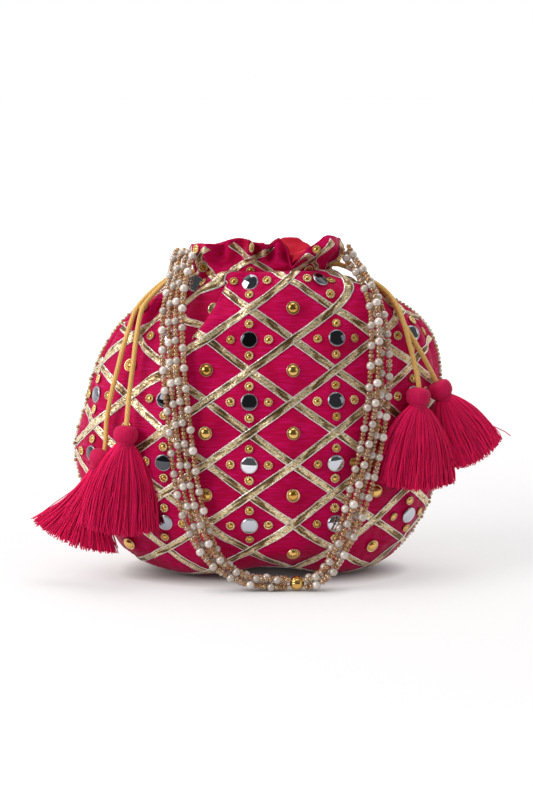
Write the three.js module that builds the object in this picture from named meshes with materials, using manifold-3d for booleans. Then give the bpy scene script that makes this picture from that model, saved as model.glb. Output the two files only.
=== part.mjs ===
// Potli bag: a gathered silk drawstring pouch with a ribbon lattice, mirrors and a beaded handle.
// Millimetres, +Z up, front towards -Y, origin on the floor under the middle of the bag.

import * as THREE from 'three';
import { mergeVertices } from 'three/addons/utils/BufferGeometryUtils.js';
import Module from 'manifold-3d';

const wasm = await Module();
wasm.setup();

// Filled pouch
const halfWidth = 115.5;
const halfDepth = 57.5;
const neckHeight = 190;
const baseFlatShare = 0.35;

// Casing at the neck and frill above it
const neckLeft = 40;
const neckRight = 46;
const neckHalfDepth = 21;
const frillHeight = 17;
const frillLeft = 40;
const frillRight = 50;
const frillHalfDepth = 26;
const gatherWaves = 4;
const casingGather = 1.2;
const frillGather = 5;

// Cloth
const clothThickness = 1;
const liningThickness = 0.8;
const clothGap = 0.45;
const liningShare = 0.8;
const liningLift = 4;
const liningFold = 9.5;
const seamGap = 0.3;
const columns = 16;

// Casing tunnel between panel and lining, and the slits in the side seams
const tunnelHalfWidth = 33.5;
const tunnelHalfDepth = 14.2;
const tunnelHeight = 12;
const slitHalfWidth = 6.2;
const slitHeight = 5.6;
const slitDepth = 5.5;

// Ribbon lattice: one diamond is cellWidth by cellHeight, measured along the cloth
const cellsAcross = 4.36;
const cellsUp = 4.87;
const cellWidth = (2 * halfWidth) / cellsAcross;
const cellHeight = neckHeight / cellsUp;
const latticeOffset = -5;
const firstMirrorRow = halfDepth + cellHeight / 2;
const ribbonWidth = 5;
const ribbonThickness = 0.6;
const ribbonGap = 0.45;
const ribbonStep = 14.5;
const latticeBottom = 40;
const latticeTop = neckHeight + 35;
const latticeEdge = 0.93;

// Mirrors and studs
const mirrorDiameter = 9.8;
const mirrorThickness = 1.3;
const mirrorGap = 0.3;
const mirrorSides = 10;
const mirrorRows = 4;
const mirrorEdge = 0.73;
const studDiameter = 7.8;
const studRim = 0.7;
const studHeight = 2.6;
const studSides = 6;
const studRoot = 0.9;
const studEdge = 0.8;

// Bead trim along the seams
const trimDiameter = 2.2;
const trimSides = 6;
const trimTop = 10.55;
const trimStep = 11;
const trimGap = 0.9;

// Drawstrings
const cordDiameter = 3;
const cordStep = 9;
const leftCordHeight = neckHeight;
const rightCordHeight = neckHeight + 5;
const exitOffset = 2.5;
const slitReach = 4;
const farEndInset = 6;

// Beaded handle
const strandCount = 4;
const strandDiameter = 4;
const strandSpacing = 4.6;
const strandStep = 12;
const goldBeadDiameter = 9;
const roundSides = 8;

// Tassels
const headLength = 11.2;
const headRadius = 7.2;
const neckRadius = 4.4;
const bindingRadius = 0.9;
const bindingGap = 0.5;
const tasselSides = 12;
const cordSeat = 0.6;
const leftFrontTassel = { length: 71, halfWidth: 21, halfDepth: 6 };
const leftBackTassel = { length: 68, halfWidth: 25, halfDepth: 6 };
const rightTassel = { length: 66, halfWidth: 22, halfDepth: 6 };

const pink = { color: 0xc41263, roughness: 0.5, metalness: 0 };
const liningRed = { color: 0xc81e4e, roughness: 0.7, metalness: 0 };
const gold = { color: 0xd6b063, roughness: 0.35, metalness: 0.9 };
const mirrorGlass = { color: 0xd9dde0, roughness: 0.04, metalness: 1 };
const goldenCord = { color: 0xd9a548, roughness: 0.55, metalness: 0 };
const pearl = { color: 0xeadccb, roughness: 0.25, metalness: 0 };
const threadPink = { color: 0xc01252, roughness: 0.7, metalness: 0 };

const bag = new THREE.Group();

function add(name, geometry, finish) {
  const mesh = new THREE.Mesh(geometry, new THREE.MeshStandardMaterial(finish));
  mesh.name = name;
  bag.add(mesh);
}

function toSolid(geometry) {
  const bare = geometry.clone();
  bare.deleteAttribute('normal');
  bare.deleteAttribute('uv');
  const merged = mergeVertices(bare, 1e-3);
  const vertProperties = new Float32Array(merged.attributes.position.array);
  const triVerts = new Uint32Array(merged.index.array);
  return new wasm.Manifold(new wasm.Mesh({ numProp: 3, vertProperties, triVerts }));
}

function toGeometry(solid) {
  const mesh = solid.getMesh();
  const geometry = new THREE.BufferGeometry();
  geometry.setAttribute('position', new THREE.BufferAttribute(mesh.vertProperties, 3));
  geometry.setIndex(new THREE.BufferAttribute(mesh.triVerts, 1));
  geometry.computeVertexNormals();
  return geometry;
}

function fromFaces(points, faces) {
  const geometry = new THREE.BufferGeometry();
  geometry.setAttribute('position', new THREE.Float32BufferAttribute(points.flatMap((p) => p.toArray()), 3));
  geometry.setIndex(faces.flat());
  geometry.computeVertexNormals();
  return geometry;
}

// Three outlines describe the filled pouch from the bottom seam to the frill's edge, one point for
// each station: the middle of the front seen from the side, and both side seams seen from the front.
const lastStation = 13;
const sideShares = [
  [0, 0.021], [0.209, 0], [0.47, 0], [0.73, 0.042], [0.887, 0.132], [0.974, 0.253], [1, 0.411],
  [0.957, 0.568], [0.852, 0.716], [0.696, 0.842], [0.522, 0.932],
];
const leftShares = [
  [0.312, 0.026], [0.45, 0.04], [0.589, 0.058], [0.727, 0.095], [0.857, 0.174], [0.961, 0.295],
  [1, 0.421], [0.944, 0.553], [0.874, 0.705], [0.745, 0.832], [0.565, 0.921],
];
const rightShares = [
  [0.416, 0.024], [0.537, 0.029], [0.641, 0.038], [0.745, 0.062], [0.857, 0.142], [0.952, 0.258],
  [0.996, 0.432], [1, 0.589], [0.978, 0.737], [0.892, 0.842], [0.693, 0.926],
];

function outline(shares, reach, neckReach, frillReach) {
  const body = shares.map(([across, up]) => new THREE.Vector2(across * reach, up * neckHeight));
  const casing = [-2, 6].map((rise) => new THREE.Vector2(neckReach, neckHeight + rise));
  const frill = new THREE.Vector2(frillReach, neckHeight + frillHeight);
  return new THREE.SplineCurve([...body, ...casing, frill]);
}

const middleOutline = outline(sideShares, halfDepth, neckHalfDepth, frillHalfDepth);
const leftOutline = outline(leftShares, halfWidth, neckLeft, frillLeft);
const rightOutline = outline(rightShares, halfWidth, neckRight, frillRight);

const station = (curve, v) => curve.getPoint(Math.min(Math.max(v / lastStation, 0), 1));

// The flattened ends of a filled pouch are pointed, and its gathered neck is nearly round.
const endSharpness = (v) => THREE.MathUtils.lerp(1.3, 0.9, THREE.MathUtils.smoothstep(v, 8, 11));

// The gathers start at the shoulder, are drawn tight in the casing and open out in the frill.
function gatherSize(v) {
  if (v < 11) return casingGather * THREE.MathUtils.smoothstep(v, 9, 11);
  return THREE.MathUtils.lerp(casingGather, frillGather, THREE.MathUtils.smoothstep(v, 11.8, 13));
}

function ungathered(u, v, side) {
  const middle = station(middleOutline, v);
  const edge = station(u < 0 ? leftOutline : rightOutline, v);
  const angle = (Math.abs(u) * Math.PI) / 2;
  const rise = Math.max(0, (Math.abs(u) - baseFlatShare) / (1 - baseFlatShare)) ** 2;
  const depth = middle.x * Math.max(Math.cos(angle), 0) ** endSharpness(v) + seamGap / 2;
  const x = Math.sign(u) * edge.x * Math.sin(angle);
  return new THREE.Vector3(x, side * depth, middle.y + (edge.y - middle.y) * rise);
}

// u runs from the left seam (-1) to the right seam (1), v up the stations, side is -1 at the front.
function clothPoint(u, v, side) {
  const point = ungathered(u, v, side);
  const size = gatherSize(v) * (1 - u ** 6);
  if (size < 1e-6) return point;
  const step = 0.01;
  const along = ungathered(Math.min(u + step, 0.99), v, side)
    .sub(ungathered(Math.max(u - step, -0.99), v, side)).setZ(0).normalize();
  const outwards = new THREE.Vector3(-along.y * side, along.x * side, 0);
  const phase = gatherWaves * Math.PI * (u + 1) + (side > 0 ? Math.PI : 0);
  return point.addScaledVector(outwards, size * Math.cos(phase))
    .addScaledVector(along, 0.35 * size * Math.sin(phase));
}

function clothNormal(u, v, side) {
  const step = 0.02;
  const inU = THREE.MathUtils.clamp(u, -0.985, 0.985);
  const across = clothPoint(inU + 0.01, v, side).sub(clothPoint(inU - 0.01, v, side));
  const up = clothPoint(inU, Math.min(v + step, lastStation), side)
    .sub(clothPoint(inU, Math.max(v - step, 0), side));
  return across.cross(up).multiplyScalar(-side).normalize();
}

// A point at a height over the cloth's outer face, kept on its own side of the side seams.
function overCloth(u, v, side, height) {
  const point = clothPoint(u, v, side).addScaledVector(clothNormal(u, v, side), height);
  if (side * point.y < seamGap / 2) point.y = (side * seamGap) / 2;
  return point;
}

// A slab from cells of four corners each, wound anticlockwise seen from outside. place gives a
// corner's two points, the outer one first, and edges that only one cell has get a wall.
function slab(cells, place, flip) {
  const index = new Map();
  const points = [];
  const faces = [];
  const edges = new Map();
  const corner = (at) => {
    const key = at.map((value) => value.toFixed(5)).join();
    if (!index.has(key)) {
      index.set(key, points.length);
      points.push(...place(...at));
    }
    return index.get(key);
  };
  const quad = (a, b, c, d) => faces.push([a, b, c], [a, c, d]);
  for (const cell of cells) {
    const ring = cell.map(corner);
    if (flip) ring.reverse();
    const [a, b, c, d] = ring;
    quad(a, b, c, d);
    quad(c + 1, b + 1, a + 1, d + 1);
    ring.forEach((from, i) => edges.set(`${from},${ring[(i + 1) % 4]}`, [from, ring[(i + 1) % 4]]));
  }
  for (const [from, to] of edges.values()) {
    if (!edges.has(`${to},${from}`)) quad(from, from + 1, to + 1, to);
  }
  return fromFaces(points, faces);
}

// Cloth coordinates: s across from the middle of the front, t up from the bottom seam, both along
// the cloth. Above the shoulder the threads run up into the gathers, so s keeps its place there.
const shoulder = 9;
const samples = 40;

function lengths(count, pointAt) {
  const table = [0];
  for (let i = 1; i <= count; i++) {
    table.push(table[i - 1] + pointAt(i / count).distanceTo(pointAt((i - 1) / count)));
  }
  return table;
}

function lookUp(table, length) {
  const i = table.findIndex((value) => value >= length);
  if (i < 0) return 1.2;
  if (i === 0) return 0;
  return (i - 1 + (length - table[i - 1]) / (table[i] - table[i - 1])) / (table.length - 1);
}

const upTable = lengths(130, (share) => ungathered(0, share * lastStation, -1));
const acrossTables = new Map();

function onCloth(s, t) {
  const v = lookUp(upTable, t) * lastStation;
  const level = Math.min(v, shoulder);
  const key = `${Math.sign(s)},${level.toFixed(4)}`;
  if (!acrossTables.has(key)) {
    const table = lengths(samples, (share) => ungathered(Math.sign(s) * share, level, -1));
    acrossTables.set(key, table);
  }
  return [Math.sign(s) * lookUp(acrossTables.get(key), Math.abs(s)), v];
}

function panelCells() {
  const rows = [0, 1, 2, 2.6, 3.2, 3.8, 4.4, 5, 5.7, 6.4, 7.1, 7.8, 8.4, 9, 9.5, 10, 10.5, 11, 12, 12.5, 13];
  const cells = [];
  for (let j = 1; j < rows.length; j++) {
    for (let i = 0; i < columns; i++) {
      const left = -1 + (2 * i) / columns;
      const right = -1 + (2 * (i + 1)) / columns;
      cells.push([[left, rows[j - 1]], [right, rows[j - 1]], [right, rows[j]], [left, rows[j]]]);
    }
  }
  return cells;
}

function slit(x, height) {
  const box = new THREE.BoxGeometry(slitDepth * 2, slitHalfWidth * 2, slitHeight);
  return toSolid(box.translate(x, 0, height));
}

// A stud is a gold cup with a dome, its root pushed into the cloth.
function stud(u, v, side) {
  const profile = [[0, -studRoot], [studDiameter / 2, -studRoot], [studDiameter / 2, studRim], [0, studHeight]];
  const dome = new THREE.LatheGeometry(profile.map(([r, h]) => new THREE.Vector2(r, h)), studSides);
  return toSolid(seat(dome, u, v, side, 0));
}

// Turns a piece made around +Y so that it stands on the cloth, at a height over its outer face.
function seat(geometry, u, v, side, height) {
  const turn = new THREE.Quaternion()
    .setFromUnitVectors(new THREE.Vector3(0, 1, 0), clothNormal(u, v, side));
  const at = overCloth(u, v, side, height);
  return geometry.applyQuaternion(turn).translate(at.x, at.y, at.z);
}

// Diamond centres: whole steps hold mirrors, half steps hold studs.
function centres(half, edge) {
  const found = [];
  for (let row = -half; row < mirrorRows; row++) {
    for (let column = -3; column <= 3; column++) {
      const s = latticeOffset + (column + half / 2) * cellWidth;
      const [u, v] = onCloth(s, firstMirrorRow + (row + half / 2) * cellHeight);
      if (Math.abs(u) < edge) found.push([u, v]);
    }
  }
  return found;
}

function addPanel(name, side) {
  const place = (u, v) => [overCloth(u, v, side, 0), overCloth(u, v, side, -clothThickness)];
  let panel = toSolid(slab(panelCells(), place, side > 0));
  panel = panel.subtract(slit(-neckLeft, leftCordHeight)).subtract(slit(neckRight, rightCordHeight));
  for (const [u, v] of centres(1, studEdge)) panel = panel.add(stud(u, v, side));
  add(name, toGeometry(panel), pink);
}

// The lining is one inner bag, folded at the bottom, where its two halves share their corners. In the
// casing it leaves the panels and makes the tunnel's inner wall.
function addLining() {
  const middle = (neckRight - neckLeft) / 2;
  const ring = (u, side, height, inset) => {
    const angle = (u * Math.PI) / 2;
    const y = side * (tunnelHalfDepth - inset) * Math.cos(angle) ** endSharpness(lastStation);
    return new THREE.Vector3(middle + (tunnelHalfWidth - inset) * Math.sin(angle), y, height);
  };
  const follow = (v) => (u, side, inset) => {
    const low = 1 - THREE.MathUtils.smoothstep(v, 2, shoulder);
    const share = THREE.MathUtils.lerp(1, liningShare, low);
    const point = overCloth(u * share, v, side, -clothThickness - clothGap - inset - low);
    point.z += liningLift * low;
    if (Math.abs(u) === 1) point.y = 0;
    return point;
  };
  const fold = (u, side, inset) => {
    const point = ungathered(u * liningShare, 1, side);
    return point.set(point.x, 0, point.z + liningFold + inset);
  };
  const tunnel = (height) => (u, side, inset) => {
    const point = ring(u, side, height, inset);
    if (Math.abs(u) === 1) point.y = 0;
    return point;
  };
  const halfTunnel = tunnelHeight / 2;
  const tunnelMiddle = (leftCordHeight + rightCordHeight) / 2;
  const levels = [
    fold, ...[2, 3.2, 4.4, 6.4, 8, 9, 9.5, 10, 10.5].map(follow),
    tunnel(tunnelMiddle - halfTunnel), tunnel(tunnelMiddle + halfTunnel),
    ...[12.5, 13].map(follow),
  ];
  const place = (around, level) => {
    const side = around <= columns ? -1 : 1;
    const u = side < 0 ? -1 + (2 * around) / columns : 3 - (2 * around) / columns;
    const point = (inset) => levels[level](u, side, inset);
    return [point(0), point(liningThickness)];
  };
  const corner = (around, level) => [level === 0 ? Math.min(around, 2 * columns - around) : around, level];
  const cells = [];
  for (let level = 1; level < levels.length; level++) {
    for (let i = 0; i < 2 * columns; i++) {
      const next = (i + 1) % (2 * columns);
      cells.push([corner(i, level - 1), corner(next, level - 1), corner(next, level), corner(i, level)]);
    }
  }
  add('lining', slab(cells, place, false), liningRed);
}

// The ribbons of one side as one net. Line p rises to the left, line q rises to the right, and a
// crossing lies at each pair of whole numbers.
function addLattice(name, side) {
  const half = (ribbonWidth / 2) * Math.hypot(1 / cellWidth, 1 / cellHeight);
  const toCloth = (p, q) => {
    const s = latticeOffset + (cellWidth * (p + q + 1)) / 2;
    const t = firstMirrorRow + (cellHeight * (p - q)) / 2;
    return [s, t];
  };
  const inside = (p, q) => {
    const [s, t] = toCloth(p, q);
    return t > latticeBottom && t < latticeTop && Math.abs(onCloth(s, t)[0]) < latticeEdge;
  };
  const place = (p, q) => {
    const [u, v] = onCloth(...toCloth(p, q));
    return [overCloth(u, v, side, ribbonGap + ribbonThickness), overCloth(u, v, side, ribbonGap)];
  };
  const whole = (p, q) => [-half, half].every((a) => [-half, half].every((b) => inside(p + a, q + b)));
  const cells = [];
  const strip = (p, q, dp, dq) => {
    const across = (a, b) => (dp ? [p + dp * a, q + b] : [p + b, q + dq * a]);
    const fits = (a) => inside(...across(a, -half)) && inside(...across(a, half));
    const full = whole(p + dp, q + dq);
    if (full && dp + dq < 0) return;
    let end = 1 - half;
    if (!full) {
      let low = half;
      for (let i = 0; i < 14; i++) {
        const guess = (low + end) / 2;
        if (fits(guess)) low = guess;
        else end = guess;
      }
      end = low;
    }
    const run = ((end - half) * Math.hypot(cellWidth, cellHeight)) / 2;
    if (run < ribbonWidth / 2) return;
    const nearSeam = Math.abs(onCloth(...toCloth(p + dp / 2, q + dq / 2))[0]) > 0.5;
    const steps = Math.ceil(run / (nearSeam ? ribbonStep / 2 : ribbonStep));
    for (let i = 0; i < steps; i++) {
      const a = half + ((end - half) * i) / steps;
      const b = half + ((end - half) * (i + 1)) / steps;
      const cell = [across(a, -half), across(b, -half), across(b, half), across(a, half)];
      cells.push((dp || -dq) > 0 ? cell.reverse() : cell);
    }
  };
  for (let p = -6; p <= 8; p++) {
    for (let q = -8; q <= 6; q++) {
      if (!whole(p, q)) continue;
      cells.push([[p - half, q - half], [p - half, q + half], [p + half, q + half], [p + half, q - half]]);
      strip(p, q, 1, 0);
      strip(p, q, -1, 0);
      strip(p, q, 0, 1);
      strip(p, q, 0, -1);
    }
  }
  add(name, slab(cells, place, side > 0), gold);
}

function addMirrors(prefix, side) {
  centres(0, mirrorEdge).forEach(([u, v], i) => {
    const disc = new THREE.CylinderGeometry(mirrorDiameter / 2, mirrorDiameter / 2, mirrorThickness, mirrorSides);
    disc.translate(0, mirrorThickness / 2, 0);
    add(`${prefix}_mirror_${String(i + 1).padStart(2, '0')}`, seat(disc, u, v, side, mirrorGap), mirrorGlass);
  });
}

function tube(points, diameter, sides, stepLength) {
  const path = new THREE.CatmullRomCurve3(points.map((p) => new THREE.Vector3(...p)), false, 'centripetal');
  const section = new THREE.Shape();
  for (let i = 0; i < sides; i++) {
    const angle = (2 * Math.PI * i) / sides;
    const [x, y] = [(diameter / 2) * Math.cos(angle), (diameter / 2) * Math.sin(angle)];
    if (i === 0) section.moveTo(x, y);
    else section.lineTo(x, y);
  }
  path.arcLengthDivisions = 400;
  const steps = Math.ceil(path.getLength() / stepLength);
  return new THREE.ExtrudeGeometry(section, { steps, extrudePath: path, bevelEnabled: false });
}

// The bead trim is one string of small beads down a side seam, along the bottom and up again.
function addTrim() {
  const seam = [];
  for (let v = trimTop; v > 0.2; v -= 0.6) seam.push([-1, v]);
  for (let u = -1; u <= 1.01; u += 0.125) seam.push([u, 0]);
  for (let v = trimTop; v > 0.2; v -= 0.6) seam.splice(seam.length, 0, [1, trimTop + 0.3 - v]);
  const line = seam.map(([u, v]) => ungathered(u, v, -1).setY(0));
  const clearance = trimDiameter / 2 + trimGap;
  const points = line.map((point, i) => {
    const along = line[Math.min(i + 1, line.length - 1)].clone().sub(line[Math.max(i - 1, 0)]).normalize();
    return [point.x + along.z * clearance, 0, point.z - along.x * clearance];
  });
  add('seam_bead_trim', tube(points, trimDiameter, trimSides, trimStep), gold);
}

// Each drawstring runs once round the casing and leaves by the slit in its own side seam, so it
// has two tails. A tail's points run from the slit to the tassel.
const leftFrontTail = [
  [-50, -3.6, 188.4], [-57, -6.8, 184], [-64.2, -12.2, 177.8], [-70.8, -18.8, 169.6],
  [-74, -25.5, 156.2], [-76, -33, 139], [-78.6, -38, 117.5], [-80, -44, 100.5],
];
const leftBackTail = [
  [-50, 2.2, 188.6], [-57.5, -1.4, 184.8], [-66.6, -6, 177.6], [-75.2, -12.4, 168],
  [-79.6, -21, 156.2], [-83, -27, 145], [-86, -30, 133], [-90, -31.5, 117],
  [-93, -32, 101], [-94, -36, 84],
];
const rightFrontTail = [
  [56, -3.8, 193], [64, -7, 188.8], [71.5, -10.4, 184.8], [79, -14.6, 179.6], [85.2, -20.2, 171.8],
  [89.8, -25, 160.6], [92.8, -27.8, 149.5], [96.4, -30.4, 135.6], [98.8, -33.5, 122.5],
];
const rightBackTail = [
  [56, 1.4, 192.6], [64, -1.6, 188.2], [71, -5.6, 183.8], [77, -10.2, 179.4], [82.8, -15.4, 173.6],
  [87.8, -19.6, 164.2], [92, -22.2, 156.4], [97, -22.8, 148.4], [104, -21.4, 136.2], [110.4, -18.8, 124],
];

// Half of the way round inside the casing, seen from above, from the slit to the far end.
const leftRing = [[-39, 2.7], [-35.2, 5], [-32, 8], [-26, 11.4], [-14, 14.8], [3, 16.4], [20, 14.6], [31, 11.4], [37.5, 6.8]];
const rightRing = [[45, 2.7], [41.2, 5], [37.8, 7.8], [31, 11.4], [20, 14.6], [3, 16.4], [-14, 14.6], [-26, 11], [-32, 6.4]];

function addDrawstring(name, ring, farEnd, slitX, height, front, back) {
  const level = (y) => ([x, across]) => [x, y * across, height];
  const points = [
    ...[...front].reverse(), [slitX, -exitOffset, height], ...ring.map(level(-1)),
    [farEnd, 0, height],
    ...[...ring].reverse().map(level(1)), [slitX, exitOffset, height], ...back,
  ];
  add(name, tube(points, cordDiameter, roundSides, cordStep), goldenCord);
}

// Each tassel is a wound head over a cut skirt, flattened where it lies against the bag. A ring is
// its distance down the tassel, its half width and its half depth.
function addTassel(name, tail, down, facing, size) {
  const axis = new THREE.Vector3(...down).normalize();
  const across = axis.clone().cross(new THREE.Vector3(...facing)).normalize();
  const out = across.clone().cross(axis);
  const top = new THREE.Vector3(...tail[tail.length - 1]).addScaledVector(axis, cordSeat);
  const skirt = size.length - headLength;
  const widen = (share, wide, deep) => [
    headLength + skirt * share,
    neckRadius + (size.halfWidth - neckRadius) * wide,
    neckRadius + (size.halfDepth - neckRadius) * deep,
  ];
  const rings = [
    [0, 2.4, 2.4], [headLength * 0.14, headRadius * 0.76, headRadius * 0.76],
    [headLength * 0.45, headRadius, headRadius], [headLength * 0.72, headRadius * 0.9, headRadius * 0.9],
    [headLength * 0.88, neckRadius, neckRadius], [headLength * 1.15, neckRadius, neckRadius],
    widen(0.12, 0.2, 0.5), widen(0.45, 0.62, 0.95), widen(1, 1, 1),
  ];
  const points = [];
  const faces = [];
  for (const [distance, wide, deep] of rings) {
    for (let i = 0; i < tasselSides; i++) {
      const angle = (2 * Math.PI * i) / tasselSides;
      points.push(top.clone().addScaledVector(axis, distance)
        .addScaledVector(across, wide * Math.cos(angle)).addScaledVector(out, deep * Math.sin(angle)));
    }
  }
  for (let j = 0; j + 1 < rings.length; j++) {
    for (let i = 0; i < tasselSides; i++) {
      const [a, b] = [j * tasselSides + i, j * tasselSides + ((i + 1) % tasselSides)];
      faces.push([a, b + tasselSides, b], [a, a + tasselSides, b + tasselSides]);
    }
  }
  const last = (rings.length - 1) * tasselSides;
  for (let i = 1; i + 1 < tasselSides; i++) {
    faces.push([0, i, i + 1], [last, last + i + 1, last + i]);
  }
  add(name, fromFaces(points, faces), threadPink);
  addBinding(`${name}_binding`, top.addScaledVector(axis, headLength * 1.01), axis);
}

function addBinding(name, centre, axis) {
  const ring = [];
  const middle = neckRadius + bindingGap + bindingRadius;
  for (let i = 0; i <= 4; i++) {
    const angle = (2 * Math.PI * i) / 4;
    ring.push(new THREE.Vector2(middle + bindingRadius * Math.cos(angle), -bindingRadius * Math.sin(angle)));
  }
  const torus = new THREE.LatheGeometry(ring.reverse(), 8);
  const turn = new THREE.Quaternion().setFromUnitVectors(new THREE.Vector3(0, 1, 0), axis);
  add(name, torus.applyQuaternion(turn).translate(centre.x, centre.y, centre.z), threadPink);
}

// The handle's four strands hang side by side down the left, gather to pass through the gold bead
// on the floor, and rise up the right. A point is the middle of the strands, then the direction
// that the band faces (0 is -Y, 90 is +X) and how far it has folded from a flat band (0) to a
// square bundle (90), both in degrees.
const handleLeft = [
  [-42.6, -5.5, 203, -90, 0], [-43.4, -8, 199, -82, 0], [-45.8, -14.5, 193, -62, 0],
  [-49, -22.5, 184, -46, 0], [-51.5, -32, 171, -34, 0], [-51.5, -41, 153, -28, 0],
  [-49.5, -49, 130, -24, 0], [-46, -54.5, 104, -20, 0], [-42.5, -58, 79, -15, 0],
  [-37.5, -60, 56, -10, 15], [-29.5, -60.5, 36, -5, 45], [-17.5, -59.5, 18.5, 0, 75],
  [-3, -58, 7.6, 0, 90], [10, -57.5, 4.9, 0, 90], [19.2, -57.5, 4.8, 0, 90],
];
const handleRight = [
  [28.8, -57.5, 4.8, 0, 90], [37, -58, 6.4, 0, 90], [47, -59, 12, 0, 85], [57, -58.5, 24.5, 8, 70],
  [65.5, -56, 42, 16, 55], [72, -51.5, 64, 22, 35], [77, -47, 88, 27, 25], [79.8, -43.5, 112, 30, 25],
  [80.3, -41, 134, 34, 35], [78.2, -37.2, 154, 42, 50], [74, -29, 172, 55, 75],
  [66, -18, 188, 68, 88], [57.6, -8.6, 198.5, 80, 90], [53.6, -5, 206, 90, 90],
];

function strandPoints(route, strand) {
  const radius = strandSpacing / 2;
  return route.map(([x, y, z, facing, folded], i) => {
    const before = new THREE.Vector3(...route[Math.max(i - 1, 0)].slice(0, 3));
    const after = new THREE.Vector3(...route[Math.min(i + 1, route.length - 1)].slice(0, 3));
    const turn = THREE.MathUtils.degToRad(facing);
    const along = after.sub(before).normalize();
    const face = new THREE.Vector3(Math.sin(turn), -Math.cos(turn), 0);
    const outwards = along.clone().cross(face).normalize();
    const towards = outwards.clone().cross(along);
    const fold = THREE.MathUtils.degToRad(folded);
    const outer = strand === 0 || strand === strandCount - 1;
    const sign = strand < strandCount / 2 ? 1 : -1;
    const across = sign * radius * (outer ? 1 + 2 * Math.cos(fold) : 1);
    const deep = (strand % 2 ? -1 : 1) * radius * Math.sin(fold);
    return new THREE.Vector3(x, y, z).addScaledVector(outwards, across).addScaledVector(towards, deep).toArray();
  });
}

function addHandle() {
  for (let strand = 0; strand < strandCount; strand++) {
    const build = (route) => tube(strandPoints(route, strand), strandDiameter, roundSides, strandStep);
    add(`handle_left_strand_${strand + 1}`, build(handleLeft), pearl);
    add(`handle_right_strand_${strand + 1}`, build(handleRight), pearl);
  }
  const leftEnd = handleLeft[handleLeft.length - 1];
  const rightEnd = handleRight[0];
  const middle = leftEnd.map((value, i) => (value + rightEnd[i]) / 2);
  const bead = new THREE.SphereGeometry(goldBeadDiameter / 2, 10, 8);
  add('handle_gold_bead', bead.translate(...middle.slice(0, 3)), gold);
}

addPanel('front_panel', -1);
addPanel('back_panel', 1);
addLining();
addLattice('front_ribbon_lattice', -1);
addLattice('back_ribbon_lattice', 1);
addMirrors('front', -1);
addMirrors('back', 1);
addTrim();
addDrawstring('left_drawstring', leftRing, neckRight - farEndInset, -neckLeft - slitReach, leftCordHeight, leftFrontTail, leftBackTail);
addDrawstring('right_drawstring', rightRing, farEndInset - neckLeft, neckRight + slitReach, rightCordHeight, rightFrontTail, rightBackTail);
addTassel('left_front_tassel', leftFrontTail, [-0.05, -0.16, -1], [0.3, -1, 0], leftFrontTassel);
addTassel('left_back_tassel', leftBackTail, [-0.5, -0.06, -1], [-0.3, -1, 0], leftBackTassel);
addTassel('right_front_tassel', rightFrontTail, [0.05, -0.1, -1], [0.3, -1, 0], rightTassel);
addTassel('right_back_tassel', rightBackTail, [0.55, -0.05, -1], [0.2, -1, 0], rightTassel);
addHandle();

export default bag;
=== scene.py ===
"""A gathered silk drawstring pouch with a gold ribbon lattice, sewn mirrors and a beaded handle.

The pouch stands filled, with its front towards -Y. Lengths inside the shape functions are in
millimetres, as in the part's own source, and every mesh is written in metres.
"""

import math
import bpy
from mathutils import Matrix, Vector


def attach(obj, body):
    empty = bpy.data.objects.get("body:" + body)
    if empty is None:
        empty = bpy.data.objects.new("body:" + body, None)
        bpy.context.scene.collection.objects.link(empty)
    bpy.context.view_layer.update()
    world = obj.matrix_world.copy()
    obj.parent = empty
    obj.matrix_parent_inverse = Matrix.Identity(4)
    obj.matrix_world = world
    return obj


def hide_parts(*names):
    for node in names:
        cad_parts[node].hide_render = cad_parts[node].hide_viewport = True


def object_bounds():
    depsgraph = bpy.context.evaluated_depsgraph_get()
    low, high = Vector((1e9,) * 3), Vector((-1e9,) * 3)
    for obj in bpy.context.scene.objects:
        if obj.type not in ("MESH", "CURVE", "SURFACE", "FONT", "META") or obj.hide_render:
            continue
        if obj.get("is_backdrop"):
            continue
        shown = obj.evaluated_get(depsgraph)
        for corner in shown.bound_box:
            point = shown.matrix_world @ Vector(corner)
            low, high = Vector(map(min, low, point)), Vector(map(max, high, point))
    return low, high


bl_info = {
    "name": "Potli bag",
    "version": (1, 0, 0),
    "blender": (4, 5, 0),
    "location": "View3D > Sidebar > Potli bag",
    "description": "Dresses the frame of a drawstring pouch in silk, ribbon, mirrors and beads",
    "category": "Object",
}

import bpy
import numpy as np
from bpy.props import FloatProperty, FloatVectorProperty, IntProperty, PointerProperty
from mathutils import Vector

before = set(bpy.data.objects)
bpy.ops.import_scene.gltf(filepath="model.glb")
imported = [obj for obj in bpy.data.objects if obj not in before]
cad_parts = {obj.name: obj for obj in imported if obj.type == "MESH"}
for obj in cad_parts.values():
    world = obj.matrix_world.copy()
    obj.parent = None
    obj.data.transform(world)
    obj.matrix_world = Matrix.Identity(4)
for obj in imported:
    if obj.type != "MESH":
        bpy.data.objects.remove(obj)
FRAME_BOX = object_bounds()
MM = 0.001


# Sizes and colours that a user would change


def colour(hex_value):
    """An sRGB hex value as the linear colour that Blender's sockets take."""
    shares = [int(hex_value[i : i + 2], 16) / 255 for i in (0, 2, 4)]
    return tuple(c / 12.92 if c <= 0.04045 else ((c + 0.055) / 1.055) ** 2.4 for c in shares)


def length(name, description, millimetres):
    """A size that a user can change, given in millimetres."""
    return FloatProperty(
        name=name, description=description, default=millimetres * MM, min=0.0,
        subtype="DISTANCE", unit="LENGTH",
    )


def tint(name, description, hex_value):
    """A colour that a user can change."""
    return FloatVectorProperty(
        name=name, description=description, default=colour(hex_value), size=3, min=0.0, max=1.0,
        subtype="COLOR",
    )


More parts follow.
